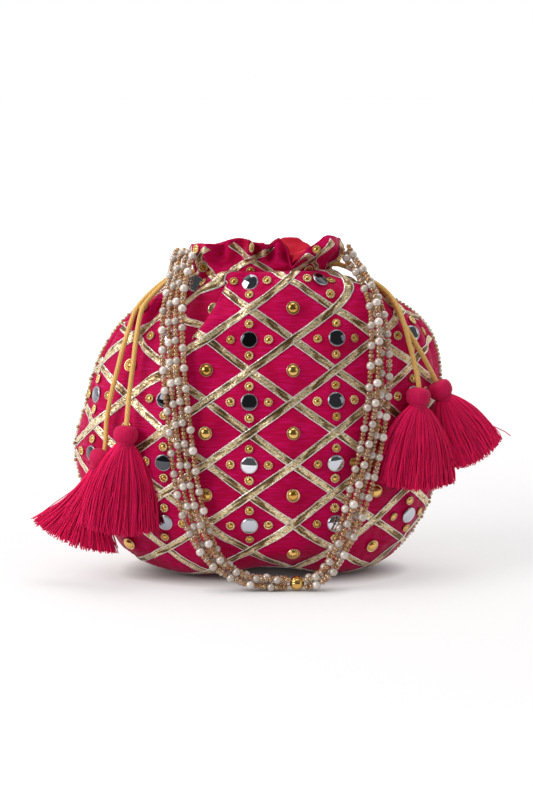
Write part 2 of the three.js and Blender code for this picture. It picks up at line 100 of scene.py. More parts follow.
class PouchSizes(bpy.types.PropertyGroup):
    """Real sizes of the pouch's trimmings."""

    silk: length("Silk", "Thickness of the silk with its backing", 0.7)
    ribbon_width: length("Ribbon width", "Width of the metallic ribbon", 5.0)
    ribbon: length("Ribbon thickness", "Thickness of the metallic ribbon", 0.3)
    mirror: length("Mirror", "Diameter of a sewn mirror", 9.4)
    sequin: length("Sequin", "Diameter of a flower sequin", 5.6)
    stud: length("Stud", "Diameter of a dome stud's cup", 8.2)
    trim_bead: length("Trim bead", "Diameter of a bead on the seams", 2.7)
    drawstring: length("Drawstring", "Diameter of the rattail cord", 3.0)
    thread: length("Tassel thread", "Diameter of one tassel thread", 0.55)
    string: length("Handle thread", "Diameter of the thread through the beads", 0.8)
    pearl: length("Pearl", "Diameter of a handle pearl", 5.2)
    pearl_pitch: length("Pearl pitch", "Distance from one pearl to the next", 12.6)
    seed_bead: length("Seed bead", "Diameter of a seed bead on the handle", 3.6)
    gold_bead: length("Gold bead", "Diameter of the bead that gathers the strands", 9.0)
    tassel_threads: IntProperty(
        name="Tassel threads", description="Threads in one tassel's skirt", default=900, min=20
    )
    seed: IntProperty(name="Seed", description="Seed for everything that varies by chance", default=7, min=0)


class PouchColours(bpy.types.PropertyGroup):
    """Colours of the pouch's materials."""

    silk: tint("Silk", "Raw silk across its warp", "BE0843")
    silk_weft: tint("Silk weft", "Raw silk's slubs and weft", "E01C80")
    lining: tint("Lining", "Smooth lining", "C40A2C")
    gold: tint("Ribbon gold", "Metallic ribbon", "DDBF84")
    edge: tint("Ribbon edge", "Pale metal yarn along the ribbon's edges", "EFE8E2")
    cord: tint("Drawstring", "Satin rattail", "EDBB66")
    thread: tint("Tassel", "Tassel thread", "EA155C")
    pearl: tint("Pearl", "Pearl lustre", "C8BAAD")
    amber: tint("Seed bead", "Amber glass seed bead", "D0904A")


# The cloth's shape, from the part's own outlines (millimetres)

HALF_WIDTH, HALF_DEPTH, NECK_HEIGHT = 115.5, 57.5, 190.0
BASE_FLAT_SHARE = 0.35
NECK_LEFT, NECK_RIGHT, NECK_HALF_DEPTH = 40.0, 46.0, 21.0
FRILL_HEIGHT, FRILL_LEFT, FRILL_RIGHT, FRILL_HALF_DEPTH = 17.0, 40.0, 50.0, 26.0
SEAM_GAP = 0.3
LAST_STATION = 13.0
SHOULDER = 9.0
SIDE_SHARES = [
    (0, 0.021), (0.209, 0), (0.47, 0), (0.73, 0.042), (0.887, 0.132), (0.974, 0.253), (1, 0.411),
    (0.957, 0.568), (0.852, 0.716), (0.696, 0.842), (0.522, 0.932),
]
LEFT_SHARES = [
    (0.312, 0.026), (0.45, 0.04), (0.589, 0.058), (0.727, 0.095), (0.857, 0.174), (0.961, 0.295),
    (1, 0.421), (0.944, 0.553), (0.874, 0.705), (0.745, 0.832), (0.565, 0.921),
]
RIGHT_SHARES = [
    (0.416, 0.024), (0.537, 0.029), (0.641, 0.038), (0.745, 0.062), (0.857, 0.142), (0.952, 0.258),
    (0.996, 0.432), (1, 0.589), (0.978, 0.737), (0.892, 0.842), (0.693, 0.926),
]
CELL_WIDTH, CELL_HEIGHT = 53.0, 38.0
LATTICE_OFFSET, FIRST_MIRROR_ROW = -5.0, 80.0


def outline(shares, reach, neck_reach, frill_reach):
    """Distances from the bag's middle and heights, from the bottom seam to the frill's edge."""
    body = [(across * reach, up * NECK_HEIGHT) for across, up in shares]
    casing = [(neck_reach, NECK_HEIGHT - 2), (neck_reach, NECK_HEIGHT + 6)]
    return np.array([*body, *casing, (frill_reach, NECK_HEIGHT + FRILL_HEIGHT)])


MIDDLE = outline(SIDE_SHARES, HALF_DEPTH, NECK_HALF_DEPTH, FRILL_HALF_DEPTH)
LEFT = outline(LEFT_SHARES, HALF_WIDTH, NECK_LEFT, FRILL_LEFT)
RIGHT = outline(RIGHT_SHARES, HALF_WIDTH, NECK_RIGHT, FRILL_RIGHT)


def smooth(value, start, end):
    """0 before start, 1 after end, and an even rise between them."""
    share = np.clip((value - start) / (end - start), 0, 1)
    return share * share * (3 - 2 * share)


def distances(points):
    """How far along a path each of its points lies."""
    return np.concatenate([[0], np.cumsum(np.linalg.norm(np.diff(points, axis=0), axis=1))])


def curve(t, start, end, out, into):
    """A cubic from start to end, with its slopes at both ends."""
    bend, pull = 2 * start - 2 * end + out + into, 3 * end - 3 * start - 2 * out - into
    return bend * t**3 + pull * t**2 + out * t + start


def station(points, v):
    """A point of an outline: the spline runs through one point for each station."""
    v = np.clip(v, 0, LAST_STATION)
    i = np.minimum(v.astype(int), len(points) - 2)
    t = (v - i)[:, None]
    before, start = points[np.maximum(i - 1, 0)], points[i]
    end, after = points[i + 1], points[np.minimum(i + 2, len(points) - 1)]
    out, into = (end - before) / 2, (after - start) / 2
    return curve(t, start, end, out, into)


def filled(u, v, side):
    """The pouch without gathers or wrinkles. u runs from the left seam (-1) to the right one (1)."""
    middle = station(MIDDLE, v)
    edge = np.where((u < 0)[:, None], station(LEFT, v), station(RIGHT, v))
    angle = np.abs(u) * np.pi / 2
    rise = np.maximum(0, (np.abs(u) - BASE_FLAT_SHARE) / (1 - BASE_FLAT_SHARE)) ** 2
    sharpness = 1.3 - 0.4 * smooth(v, 8, 11)
    depth = middle[:, 0] * np.maximum(np.cos(angle), 0) ** sharpness + SEAM_GAP / 2
    x = np.sign(u) * edge[:, 0] * np.sin(angle)
    return np.stack([x, side * depth, middle[:, 1] + (edge[:, 1] - middle[:, 1]) * rise], 1)


def unit(vectors):
    """The same directions, each one long."""
    return vectors / np.maximum(np.linalg.norm(vectors, axis=1, keepdims=True), 1e-9)


def waves(u, v, side, size, count, shift):
    """Soft irregular wrinkles, about size millimetres from crest to crest."""
    chance = np.random.default_rng(int(shift) * 2 + (side > 0))
    x, y = u * 140, v * 18
    total = np.zeros_like(u)
    for _ in range(count):
        turn = chance.uniform(0, np.pi)
        scale = 2 * np.pi / (size * chance.uniform(0.7, 1.5))
        slow = (x * np.cos(turn + 1.3) + y * np.sin(turn + 1.3)) * scale * 0.4
        bend = 0.8 * np.sin(slow + chance.uniform(0, 6))
        total += np.sin((x * np.cos(turn) + y * np.sin(turn)) * scale + bend + chance.uniform(0, 2 * np.pi))
    return total / math.sqrt(count)


UP_STATIONS = np.linspace(0, LAST_STATION, 1301)
UP_POINTS = filled(np.zeros(len(UP_STATIONS)), UP_STATIONS, -1)
UP_LENGTHS = distances(UP_POINTS)
# The crumpled frill holds more cloth than its height shows.
UP_LENGTHS += 9 * smooth(UP_STATIONS, 11.6, LAST_STATION)
LEVELS = np.linspace(0, SHOULDER, 91)
SHARES = np.linspace(0, 1, 81)


def across_lengths(sign):
    """At each level, how far along the cloth the shares of a side's width lie."""
    rows = []
    for level in LEVELS:
        points = filled(sign * SHARES, np.full(len(SHARES), level), -1)
        rows.append(distances(points))
    return np.array(rows)


ACROSS = {-1: across_lengths(-1), 1: across_lengths(1)}


def to_cloth(u, v):
    """Distances along the cloth: s from the middle of the front, t up from the bottom seam."""
    level = np.clip(v, 0, SHOULDER) * 10
    row = np.minimum(level.astype(int), len(LEVELS) - 2)
    place = np.clip(np.abs(u), 0, 1) * (len(SHARES) - 1)
    column = np.minimum(place.astype(int), len(SHARES) - 2)
    a, b = level - row, place - column
    s = np.zeros_like(u)
    for sign, table in ACROSS.items():
        low = table[row, column] * (1 - b) + table[row, column + 1] * b
        high = table[row + 1, column] * (1 - b) + table[row + 1, column + 1] * b
        s = np.where(np.sign(u) == sign, sign * (low * (1 - a) + high * a), s)
    return s, np.interp(v, UP_STATIONS, UP_LENGTHS)


def on_cloth(s, t):
    """The u and v of a place that is s across and t up the cloth. Past a seam, u is beyond 1."""
    v = np.interp(t, UP_LENGTHS, UP_STATIONS)
    u = np.zeros_like(v)
    for i, (distance, station_at) in enumerate(zip(s, v)):
        level = min(max(station_at, 0), SHOULDER) * 10
        row = min(int(level), len(LEVELS) - 2)
        table = ACROSS[1 if distance >= 0 else -1]
        lengths = table[row] * (1 - level + row) + table[row + 1] * (level - row)
        over = max(0.0, abs(distance) - lengths[-1]) / 100
        u[i] = math.copysign(np.interp(abs(distance), lengths, SHARES) + over, distance)
    return u, v


def lattice_place(u, v):
    """Where a point lies among the ribbons: both numbers are whole on a crossing."""
    s, t = to_cloth(u, v)
    sum_of = 2 * (s - LATTICE_OFFSET) / CELL_WIDTH - 1
    difference = 2 * (t - FIRST_MIRROR_ROW) / CELL_HEIGHT
    return (sum_of + difference) / 2, (sum_of - difference) / 2


def lattice_point(p, q):
    """How far across and up the cloth a place among the ribbons lies."""
    return LATTICE_OFFSET + CELL_WIDTH * (p + q + 1) / 2, FIRST_MIRROR_ROW + CELL_HEIGHT * (p - q) / 2


# The frill's lobes and creases, from the left seam (-1) to the right one (1): how high its edge
# stands, as a share of the frill's height, and how many millimetres it leans out.
FRILL_PLACES = {
    -1: (
        -1, -0.6, -0.35, -0.25, -0.17, -0.09, -0.045, -0.008, 0.025, 0.055, 0.095, 0.14, 0.165,
        0.26, 0.4, 0.6, 1,
    ),
    1: (-1, -0.6, -0.3, -0.1, 0, 0.06, 0.13, 0.2, 0.27, 0.35, 0.6, 0.8, 1),
}
FRILL_HEIGHTS = {
    -1: (0.85, 1.1, 1.2, 1.15, 1.4, 1.4, 1.4, 1.1, 1.2, 1.0, 1.45, 0.9, -0.2, 1, 1.65, 1.4, 0.85),
    1: (0.85, 0.4, 0.1, 0, 0.1, 0.6, 1.15, 1.2, 0.9, 0.2, 0.1, 0.4, 0.85),
}
FRILL_LEANS = {
    -1: (0, 3, 4, -4, 1, -1.5, 5, -7, -1, -8, -1, -6, -5, 5, 7.5, 5, 0),
    1: (0, 3, -5, 3, -4, 2, 0, -1, -2, -6, 4, 3, 0),
}


def eased(u, places, values):
    """Values between the given places, level at each of them, so that lobes and creases are round."""
    i = np.clip(np.searchsorted(places, u) - 1, 0, len(places) - 2)
    places, values = np.array(places, float), np.array(values, float)
    share = smooth((u - places[i]) / (places[i + 1] - places[i]), 0, 1)
    return values[i] + (values[i + 1] - values[i]) * share


def gathered(u, v):
    """Where cloth that is u across lies in the neck: the middle keeps its width, the sides bunch up."""
    width = np.interp(v, np.arange(len(RIGHT)), RIGHT[:, 0] + LEFT[:, 0])
    shoulder = RIGHT[int(SHOULDER), 0] + LEFT[int(SHOULDER), 0]
    crowd = 1 + 0.75 * (np.maximum(shoulder / width, 1) - 1) * smooth(v, SHOULDER - 0.5, SHOULDER + 0.5)
    inside = np.sign(u) * (1 - np.maximum(1 - np.abs(u), 0) ** crowd)
    return inside + np.where(np.abs(u) > 1, u - np.sign(u), 0)


# Surface directions are taken this far inside the seams, where the cloth's edge has none.
INSIDE_SEAMS = 0.985
# How many pleats and folds lie over the whole width, and half their depths in millimetres.
PLEATS, FOLDS, PLEAT_DEPTH, FOLD_DEPTH = 12, 6, 1.3, 3.0
# How far, in millimetres, the cloth moves out and up where it billows over the casing, how deep
# the slanting fold is and how far its hidden cloth slides, and how far the seam draws the front up.
BILLOW_OUT, BILLOW_UP, SLANT_DEPTH, SLANT_SLIDE, DRAWN_OUT, DRAWN_UP = 9, 4, 4.5, 8.5, 5, 8
# How far the frill's lowest creases drop and how strongly its lobes lean, how far the base is
# lifted off the floor, and how far the diamonds puff up.
FRILL_DROP, FRILL_LEAN, BASE_LIFT, PUFF = 11, 1.2, 1.2, 1.1
# Wrinkles: height, size and number of their waves, and where their chance starts.
WRINKLES = ((0.95, 42, 7, 3), (0.36, 15, 9, 5))
FINE_WRINKLES = (0.12, 7, 9, 8)


def cloth(u, v, side, height=0.0):
    """The silk's outer face, with its gathers and wrinkles, or a height over it."""
    u, v = np.broadcast_arrays(np.asarray(u, float), np.asarray(v, float))
    u, v = u.ravel(), v.ravel()
    if np.any(height):
        inside, step_u, step_v = np.clip(u, -INSIDE_SEAMS, INSIDE_SEAMS), 0.006, 0.04
        over = cloth(inside + step_u, v, side) - cloth(inside - step_u, v, side)
        higher, lower = np.minimum(v + step_v, LAST_STATION), np.maximum(v - step_v, 0)
        up = cloth(inside, higher, side) - cloth(inside, lower, side)
        point = cloth(u, v, side) + unit(np.cross(over, up) * -side) * np.reshape(height, (-1, 1))
        point[:, 1] = side * np.maximum(side * point[:, 1], SEAM_GAP / 2)
        return point
    place = gathered(u, v)
    point = filled(place, v, side)
    inside = np.clip(place, -INSIDE_SEAMS, INSIDE_SEAMS)
    along = filled(inside + 0.01, v, side) - filled(inside - 0.01, v, side)
    higher, lower = np.minimum(v + 0.05, LAST_STATION), np.maximum(v - 0.05, 0)
    up = filled(inside, higher, side) - filled(inside, lower, side)
    normal = unit(np.cross(along, up) * -side)
    along[:, 2] = 0
    along = unit(along)
    level_out = np.stack([-along[:, 1] * side, along[:, 0] * side, np.zeros_like(u)], 1)
    fade = 1 - u**6
    # Pleats that the drawstring makes run out into folds over the shoulder, mostly at the sides.
    wobble = 1.3 * np.sin(7 * u + 1.1 + side) + 0.5 * np.sin(19 * u + v * 0.6)
    off_middle = smooth(np.abs(u - 0.22), 0.28, 0.62) if side < 0 else smooth(np.abs(u), 0.1, 0.45)
    sides = 0.08 + 0.92 * off_middle
    pleats = PLEAT_DEPTH * smooth(v, 8.8, 10.8) * (1 - 0.5 * smooth(v, 12, 13)) * fade * sides
    pleat_phase = PLEATS * np.pi * (u + 1) + wobble
    folds = FOLD_DEPTH * smooth(v, 6.8, 9.6) * (1 - smooth(v, 9.9, 10.7)) * fade * sides
    fold_phase = FOLDS * np.pi * (u + 1) + 1.5 * wobble + 0.35 * (v - SHOULDER)
    # The middle of the shoulder billows out over the casing.
    billow = smooth(v, 8.2, 10.9) * (1 - smooth(v, 11, 11.55)) * (1 - sides) * (1.0 if side < 0 else 0.5)
    out = pleats * (0.4 + np.cos(pleat_phase)) + folds * (np.cos(fold_phase) - 0.35) + BILLOW_OUT * billow
    slide = 0.8 * folds * np.sin(fold_phase)
    # The frill stands up in lobes that lean out or in, with creases between them.
    lobe, lean = (eased(u, FRILL_PLACES[side], part[side]) for part in (FRILL_HEIGHTS, FRILL_LEANS))
    out += FRILL_LEAN * np.sin(0.8 * np.pi * smooth(v, 11.95, LAST_STATION)) * lean
    point[:, 2] += BILLOW_UP * billow
    point[:, 2] -= (1 - lobe) * FRILL_DROP * smooth(v, 11.9, LAST_STATION)
    if side < 0:
        # The middle of the front lies over the cloth left of it, in a slanting fold.
        line = u + 0.13 + 0.062 * (11 - np.clip(v, 6.5, LAST_STATION))
        strength = smooth(v, 6.8, 8.8) * (1 - smooth(v, 10.1, 11))
        hidden = np.clip(-line / 0.11, 0, 1)
        out -= SLANT_DEPTH * strength * smooth(-line, 0, 0.06) * np.exp(-((np.minimum(line, 0) / 0.45) ** 2))
        slide += SLANT_SLIDE * strength * np.sin(np.pi * hidden)
    point += level_out * out[:, None] + along * slide[:, None]
    # Stitched ribbons hold the cloth down and each diamond puffs up a little between them.
    p, q = lattice_place(u, v)
    diamonds = np.sin(np.pi * p) ** 2 * np.sin(np.pi * q) ** 2
    puff = PUFF * diamonds**0.6 * (1 - smooth(v, 8.5, 10.5)) * fade
    coarse, fine = (
        sum(rise * waves(u, v, side, *kind) for rise, *kind in kinds) for kinds in (WRINKLES, [FINE_WRINKLES])
    )
    wrinkle = coarse * smooth(v, 1.5, 4) * fade + fine * fade
    point += normal * ((puff + wrinkle - 0.6) * smooth(point[:, 2], 0, 12))[:, None]
    if side < 0:
        # The bottom seam draws the front up a little, right of the middle.
        drawn = np.exp(-(((u - 0.06) / 0.24) ** 2)) * (1 - smooth(v, 1.6, 4.4))
        point += np.stack([0 * drawn, DRAWN_OUT * drawn, DRAWN_UP * drawn], 1) * smooth(v, 0.3, 1.2)[:, None]
    # Ribbons run on under the base, so the silk stands a ribbon's height over the floor.
    point[:, 2] += BASE_LIFT * (1 - smooth(point[:, 2], 0, 9))
    point[:, 1] = side * np.maximum(side * point[:, 1], SEAM_GAP / 2)
    return point


def facing(u, v, side):
    """The cloth's outward direction and its direction across, at each place."""
    low, high = cloth(u, v, side, -0.5), cloth(u, v, side, 0.5)
    across = cloth(np.asarray(u) + 0.01, v, side) - cloth(np.asarray(u) - 0.01, v, side)
    return unit(high - low), unit(across)


# Making meshes and pieces


def new_object(name, mesh):
    """A piece at the origin, in the scene."""
    piece = bpy.data.objects.new(name, mesh)
    bpy.context.scene.collection.objects.link(piece)
    return piece


def mesh_from(name, points, faces, uv=None):
    """A smooth mesh from points in millimetres. uv holds one pair of millimetres for each point."""
    mesh = bpy.data.meshes.new(name)
    mesh.from_pydata((np.asarray(points) * MM).tolist(), [], [list(map(int, face)) for face in faces])
    if uv is not None:
        layer = mesh.uv_layers.new(name="cloth")
        corners = np.empty(len(mesh.loops), int)
        mesh.loops.foreach_get("vertex_index", corners)
        layer.data.foreach_set("uv", (np.asarray(uv)[corners] * 0.01).ravel())
    mesh.shade_smooth()
    return mesh


def grid_faces(rows, columns, closed=False, flip=False):
    """Faces between the points of a grid, whose rows may run round."""
    around = columns if closed else columns - 1
    j, i = np.meshgrid(np.arange(rows - 1), np.arange(around), indexing="ij")
    j, i = j.ravel(), i.ravel()
    n = (i + 1) % columns
    faces = np.stack([j * columns + i, j * columns + n, (j + 1) * columns + n, (j + 1) * columns + i], 1)
    return faces[:, ::-1] if flip else faces


def capped_faces(rows, columns, flip=False):
    """Faces of closed rings, and fans from both ends to the last two points, the first ring's first."""
    faces = grid_faces(rows, columns, closed=True, flip=flip).tolist()
    first, last = rows * columns, (rows - 1) * columns
    for i in range(columns):
        n = (i + 1) % columns
        fans = [first, n, i], [first + 1, last + i, last + n]
        faces += [fan[::-1] if flip else fan for fan in fans]
    return faces


def finish_piece(piece, body, slot, material, *nodes):
    """Gives a piece its material, the body it rides and the nodes that it replaces. Its slot is not used."""
    piece.data.materials.clear()
    piece.data.materials.append(material)
    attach(piece, body)
    if nodes:
        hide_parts(*nodes)
    return piece


def plain(piece):
    """The piece with its modifiers turned into its own mesh."""
    evaluated = piece.evaluated_get(bpy.context.evaluated_depsgraph_get())
    mesh = bpy.data.meshes.new_from_object(evaluated)
    piece.modifiers.clear()
    piece.data = mesh
    return piece


def solidify(piece, thickness, offset):
    """Gives a sheet its thickness in metres."""
    wall = piece.modifiers.new("Thickness", "SOLIDIFY")
    wall.thickness = thickness
    wall.offset = offset
    return plain(piece)


def spline_points(controls, step):
    """Even points on a centripetal spline through the controls, as the part's cords run."""
    c = np.asarray(controls, float)
    c = np.vstack([2 * c[0] - c[1], c, 2 * c[-1] - c[-2]])
    dense = []
    for i in range(1, len(c) - 2):
        p0, p1, p2, p3 = c[i - 1], c[i], c[i + 1], c[i + 2]
        gaps = [max(np.linalg.norm(b - a) ** 0.5, 1e-4) for a, b in ((p0, p1), (p1, p2), (p2, p3))]
        out = ((p1 - p0) / gaps[0] - (p2 - p0) / (gaps[0] + gaps[1]) + (p2 - p1) / gaps[1]) * gaps[1]
        into = ((p2 - p1) / gaps[1] - (p3 - p1) / (gaps[1] + gaps[2]) + (p3 - p2) / gaps[2]) * gaps[1]
        t = np.linspace(0, 1, 24, endpoint=False)[:, None]
        dense.append(curve(t, p1, p2, out, into))
    dense = np.vstack([*dense, c[-2:-1]])
    run = distances(dense)
    count = max(2, int(round(run[-1] / step)) + 1)
    at = np.linspace(0, run[-1], count)
    return np.stack([np.interp(at, run, dense[:, k]) for k in range(3)], 1)


def path_length(points):
    """A path's length, in millimetres."""
    return float(distances(points)[-1])


def frames(points):
    """Directions along a path, and two across it that turn as little as they can."""
    along = unit(np.gradient(points, axis=0))
    first = np.cross(along[0], [0, 0, 1.0])
    if np.linalg.norm(first) < 0.1:
        first = np.cross(along[0], [0, 1.0, 0])
    across = [first / np.linalg.norm(first)]
    for direction in along[1:]:
        turned = across[-1] - direction * (across[-1] @ direction)
        across.append(turned / np.linalg.norm(turned))
    across = np.array(across)
    return along, across, np.cross(along, across)


def tube(name, points, radius, sides):
    """A closed tube with a UV map: millimetres round it and along it."""
    _, across, over = frames(points)
    angle = np.arange(sides) * 2 * np.pi / sides
    radius = np.broadcast_to(radius, len(points))[:, None, None]
    ring = across[:, None] * np.cos(angle)[None, :, None] + over[:, None] * np.sin(angle)[None, :, None]
    body = (points[:, None] + ring * radius).reshape(-1, 3)
    run = distances(points)
    uv = np.stack(np.broadcast_arrays(angle[None] * radius[:, :, 0], run[:, None]), 2).reshape(-1, 2)
    body = np.vstack([body, points[:1], points[-1:]])
    uv = np.vstack([uv, [0, 0], [0, run[-1]]])
    return mesh_from(name, body, capped_faces(len(points), sides), uv)


def turned(name, outline_points, sides, wave=None):
    """A turned shape round +Z. wave(angle) scales the radius, as for petals or flutes."""
    angle = np.arange(sides) * 2 * np.pi / sides
    scale = wave(angle) if wave else np.ones(sides)
    circle = np.stack([scale * np.cos(angle), scale * np.sin(angle), np.zeros(sides)], 1)
    rings = [circle * radius + [0, 0, z] for radius, z in outline_points[1:-1]]
    points = np.vstack([*rings, [[0, 0, outline_points[0][1]], [0, 0, outline_points[-1][1]]]])
    return mesh_from(name, points, capped_faces(len(rings), sides))


def profile(radius, *points):
    """A turned outline of heights, whose distances from the axis are given as shares of the radius."""
    return [(radius * share, height) for share, height in points]


def ball_profile(radius, steps):
    """The outline of a ball."""
    angle = np.linspace(0, np.pi, steps)
    return [(radius * math.sin(a), -radius * math.cos(a)) for a in angle]


def ring_shape(name, radius, wire, sides, wire_sides, wave=None):
    """A closed ring round +Z, lying on z = 0."""
    angle = np.arange(sides) * 2 * np.pi / sides
    scale = wave(angle) if wave else np.ones(sides)
    turn = np.arange(wire_sides) * 2 * np.pi / wire_sides
    out = radius + wire * scale[:, None] * np.cos(turn)[None]
    z = wire + wire * scale[:, None] * np.sin(turn)[None]
    points = np.stack([out * np.cos(angle)[:, None], out * np.sin(angle)[:, None], z], 2).reshape(-1, 3)
    faces = []
    for i in range(sides):
        for k in range(wire_sides):
            n, m = (i + 1) % sides, (k + 1) % wire_sides
            faces.append([i * wire_sides + k, n * wire_sides + k, n * wire_sides + m, i * wire_sides + m])
    return mesh_from(name, points, faces)


# Geometry Nodes: copies sewn on points, and threads along lines


def set_inputs(tree, node, inputs):
    """Gives a node's inputs, by name or number, a value or a link from an output socket."""
    for name, value in inputs.items():
        if isinstance(value, bpy.types.NodeSocket):
            tree.links.new(value, node.inputs[name])
        else:
            node.inputs[name].default_value = value


def add_node(tree, kind, inputs=None, stops=(), **settings):
    """Adds a node with its inputs and settings. stops are a ramp's places and colours."""
    node = tree.nodes.new(kind)
    for name, value in settings.items():
        setattr(node, name, value)
    set_inputs(tree, node, inputs or {})
    elements = node.color_ramp.elements if stops else ()
    while len(elements) < len(stops):
        elements.new(0.5)
    for element, (place, value) in zip(elements, stops):
        element.position = place
        element.color = (*value, 1.0)
    return node


def node_tree(name, inputs):
    """A new tree with named inputs, and the outputs that give their values."""
    tree = bpy.data.node_groups.new(name, "GeometryNodeTree")
    tree.interface.new_socket("Geometry", in_out="OUTPUT", socket_type="NodeSocketGeometry")
    tree.interface.new_socket("Geometry", in_out="INPUT", socket_type="NodeSocketGeometry")
    for label, kind, value in inputs:
        socket = tree.interface.new_socket(label, in_out="INPUT", socket_type=f"NodeSocket{kind}")
        if value is not None:
            socket.default_value = value
    return tree, add_node(tree, "NodeGroupInput").outputs


SEED_AND_MATERIAL = [("Seed", "Int", 1), ("Material", "Material", None)]


def shaded(tree, given, shapes, domain):
    """Stores a random number on each copy or line, for the materials to pick its shade by."""
    shade = add_node(tree, "FunctionNodeRandomValue", {2: 0.0, 3: 1.0, "Seed": given["Seed"]})
    inputs = {"Geometry": shapes, "Name": "shade", "Value": shade.outputs[1]}
    named = add_node(tree, "GeometryNodeStoreNamedAttribute", inputs, data_type="FLOAT", domain=domain)
    return named.outputs[0]


def dressed(tree, given, shapes):
    """Ends a tree: real geometry with its material."""
    real = add_node(tree, "GeometryNodeRealizeInstances", {0: shapes})
    inputs = {"Geometry": real.outputs[0], "Material": given["Material"]}
    done = add_node(tree, "GeometryNodeSetMaterial", inputs)
    add_node(tree, "NodeGroupOutput", {0: done.outputs[0]})
    return tree


def copies_tree():
    """A copy on each point, its +Z along the point's facing and its +X across, each a little different."""
    tree, given = node_tree(
        "Sewn copies", [("Copy", "Object", None), ("Size variation", "Float", 0.03), *SEED_AND_MATERIAL]
    )
    copy = add_node(tree, "GeometryNodeObjectInfo", {"Object": given["Copy"], "As Instance": True})
    facing_at, across, size = (
        add_node(tree, "GeometryNodeInputNamedAttribute", {"Name": label}, data_type=kind).outputs[0]
        for label, kind in (("facing", "FLOAT_VECTOR"), ("across", "FLOAT_VECTOR"), ("size", "FLOAT"))
    )
    turn = add_node(
        tree, "FunctionNodeAxesToRotation", {0: facing_at, 1: across}, primary_axis="Z", secondary_axis="X"
    )
    least, most = (
        add_node(tree, "ShaderNodeMath", {0: 1.0, 1: given["Size variation"]}, operation=kind).outputs[0]
        for kind in ("SUBTRACT", "ADD")
    )
    vary = add_node(tree, "FunctionNodeRandomValue", {2: least, 3: most, "Seed": given["Seed"]})
    scale = add_node(tree, "ShaderNodeMath", {0: size, 1: vary.outputs[1]}, operation="MULTIPLY")
    placed = add_node(
        tree, "GeometryNodeInstanceOnPoints",
        {
            "Points": given["Geometry"], "Instance": copy.outputs["Geometry"],
            "Rotation": turn.outputs[0], "Scale": scale.outputs[0],
        },
    )
    return dressed(tree, given, shaded(tree, given, placed.outputs[0], "INSTANCE"))


def threads_tree():
    """A round thread along each line of the mesh, each with its own shade."""
    tree, given = node_tree(
        "Cut threads", [("Radius", "Float", 0.0003), ("Sides", "Int", 4), *SEED_AND_MATERIAL]
    )
    lines = add_node(tree, "GeometryNodeMeshToCurve", {"Mesh": given["Geometry"]})
    inputs = {"Resolution": given["Sides"], "Radius": given["Radius"]}
    circle = add_node(tree, "GeometryNodeCurvePrimitiveCircle", inputs)
    swept = add_node(
        tree, "GeometryNodeCurveToMesh",
        {
            "Curve": shaded(tree, given, lines.outputs[0], "CURVE"),
            "Profile Curve": circle.outputs["Curve"], "Fill Caps": True,
        },
    )
    return dressed(tree, given, swept.outputs[0])


def run_tree(piece, tree, values):
    """Runs a node tree on the piece and keeps its result as the piece's mesh."""
    modifier = piece.modifiers.new(tree.name, "NODES")
    modifier.node_group = tree
    for socket in tree.interface.items_tree:
        if socket.in_out == "INPUT" and socket.name in values:
            modifier[socket.identifier] = values[socket.name]
    plain(piece)
    piece.data.shade_smooth()
    return piece


def tree_named(name, make):
    """The tree of this name, made when it is first needed."""
    return bpy.data.node_groups.get(name) or make()


def copies(name, shape, places, material, variation=0.03, seed=1):
    """One piece made of copies of shape. places holds points, facings, acrosses and sizes."""
    points, towards, across, sizes = places
    mesh = bpy.data.meshes.new(name)
    mesh.from_pydata((np.asarray(points) * MM).tolist(), [], [])
    for label, kind, field, values in (
        ("facing", "FLOAT_VECTOR", "vector", towards),
        ("across", "FLOAT_VECTOR", "vector", across),
        ("size", "FLOAT", "value", sizes),
    ):
        layer = mesh.attributes.new(label, kind, "POINT")
        layer.data.foreach_set(field, np.asarray(values, np.float32).ravel())
    piece = new_object(name, mesh)
    pattern = new_object(f"{name}_shape", shape)
    run_tree(
        piece, tree_named("Sewn copies", copies_tree),
        {"Copy": pattern, "Size variation": variation, "Seed": seed, "Material": material},
    )
    bpy.data.objects.remove(pattern)
    return piece


def threads(name, lines, radius, material, sides=4, seed=1):
    """One piece made of a round thread along each line of points."""
    mesh = bpy.data.meshes.new(name)
    starts = np.cumsum([0] + [len(line) for line in lines])
    edges = [(a + i, a + i + 1) for a, line in zip(starts, lines) for i in range(len(line) - 1)]
    mesh.from_pydata((np.vstack(lines) * MM).tolist(), edges, [])
    piece = new_object(name, mesh)
    return run_tree(
        piece, tree_named("Cut threads", threads_tree),
        {"Radius": radius * MM, "Sides": sides, "Seed": seed, "Material": material},
    )


# Materials


RAMP = "ShaderNodeValToRGB"
# How many millimetres one unit of each kind of coordinates stands for.
COORDINATE_UNITS = {"UV": 100.0, "Object": 1000.0}


def material(name):
    """A new material with its node tree and its shader."""
    made = bpy.data.materials.new(name)
    made.use_nodes = True
    return made, made.node_tree, made.node_tree.nodes["Principled BSDF"]


def sized(tree, across, along=None, source="UV"):
    """Coordinates that grow by one for each size of a pattern, in millimetres across and along."""
    whole = COORDINATE_UNITS[source]
    place = add_node(tree, "ShaderNodeTexCoord").outputs[source]
    scale = (whole / across, whole / (along or across), whole / across)
    return add_node(tree, "ShaderNodeMapping", {"Vector": place, "Scale": scale}).outputs[0]


def grain(tree, across, along=None, detail=3.0, roughness=0.55, source="UV"):
    """An uneven pattern from 0 to 1, whose patches have this size in millimetres."""
    where = sized(tree, across, along, source)
    inputs = {"Vector": where, "Scale": 1.0, "Detail": detail, "Roughness": roughness}
    return add_node(tree, "ShaderNodeTexNoise", inputs).outputs["Fac"]


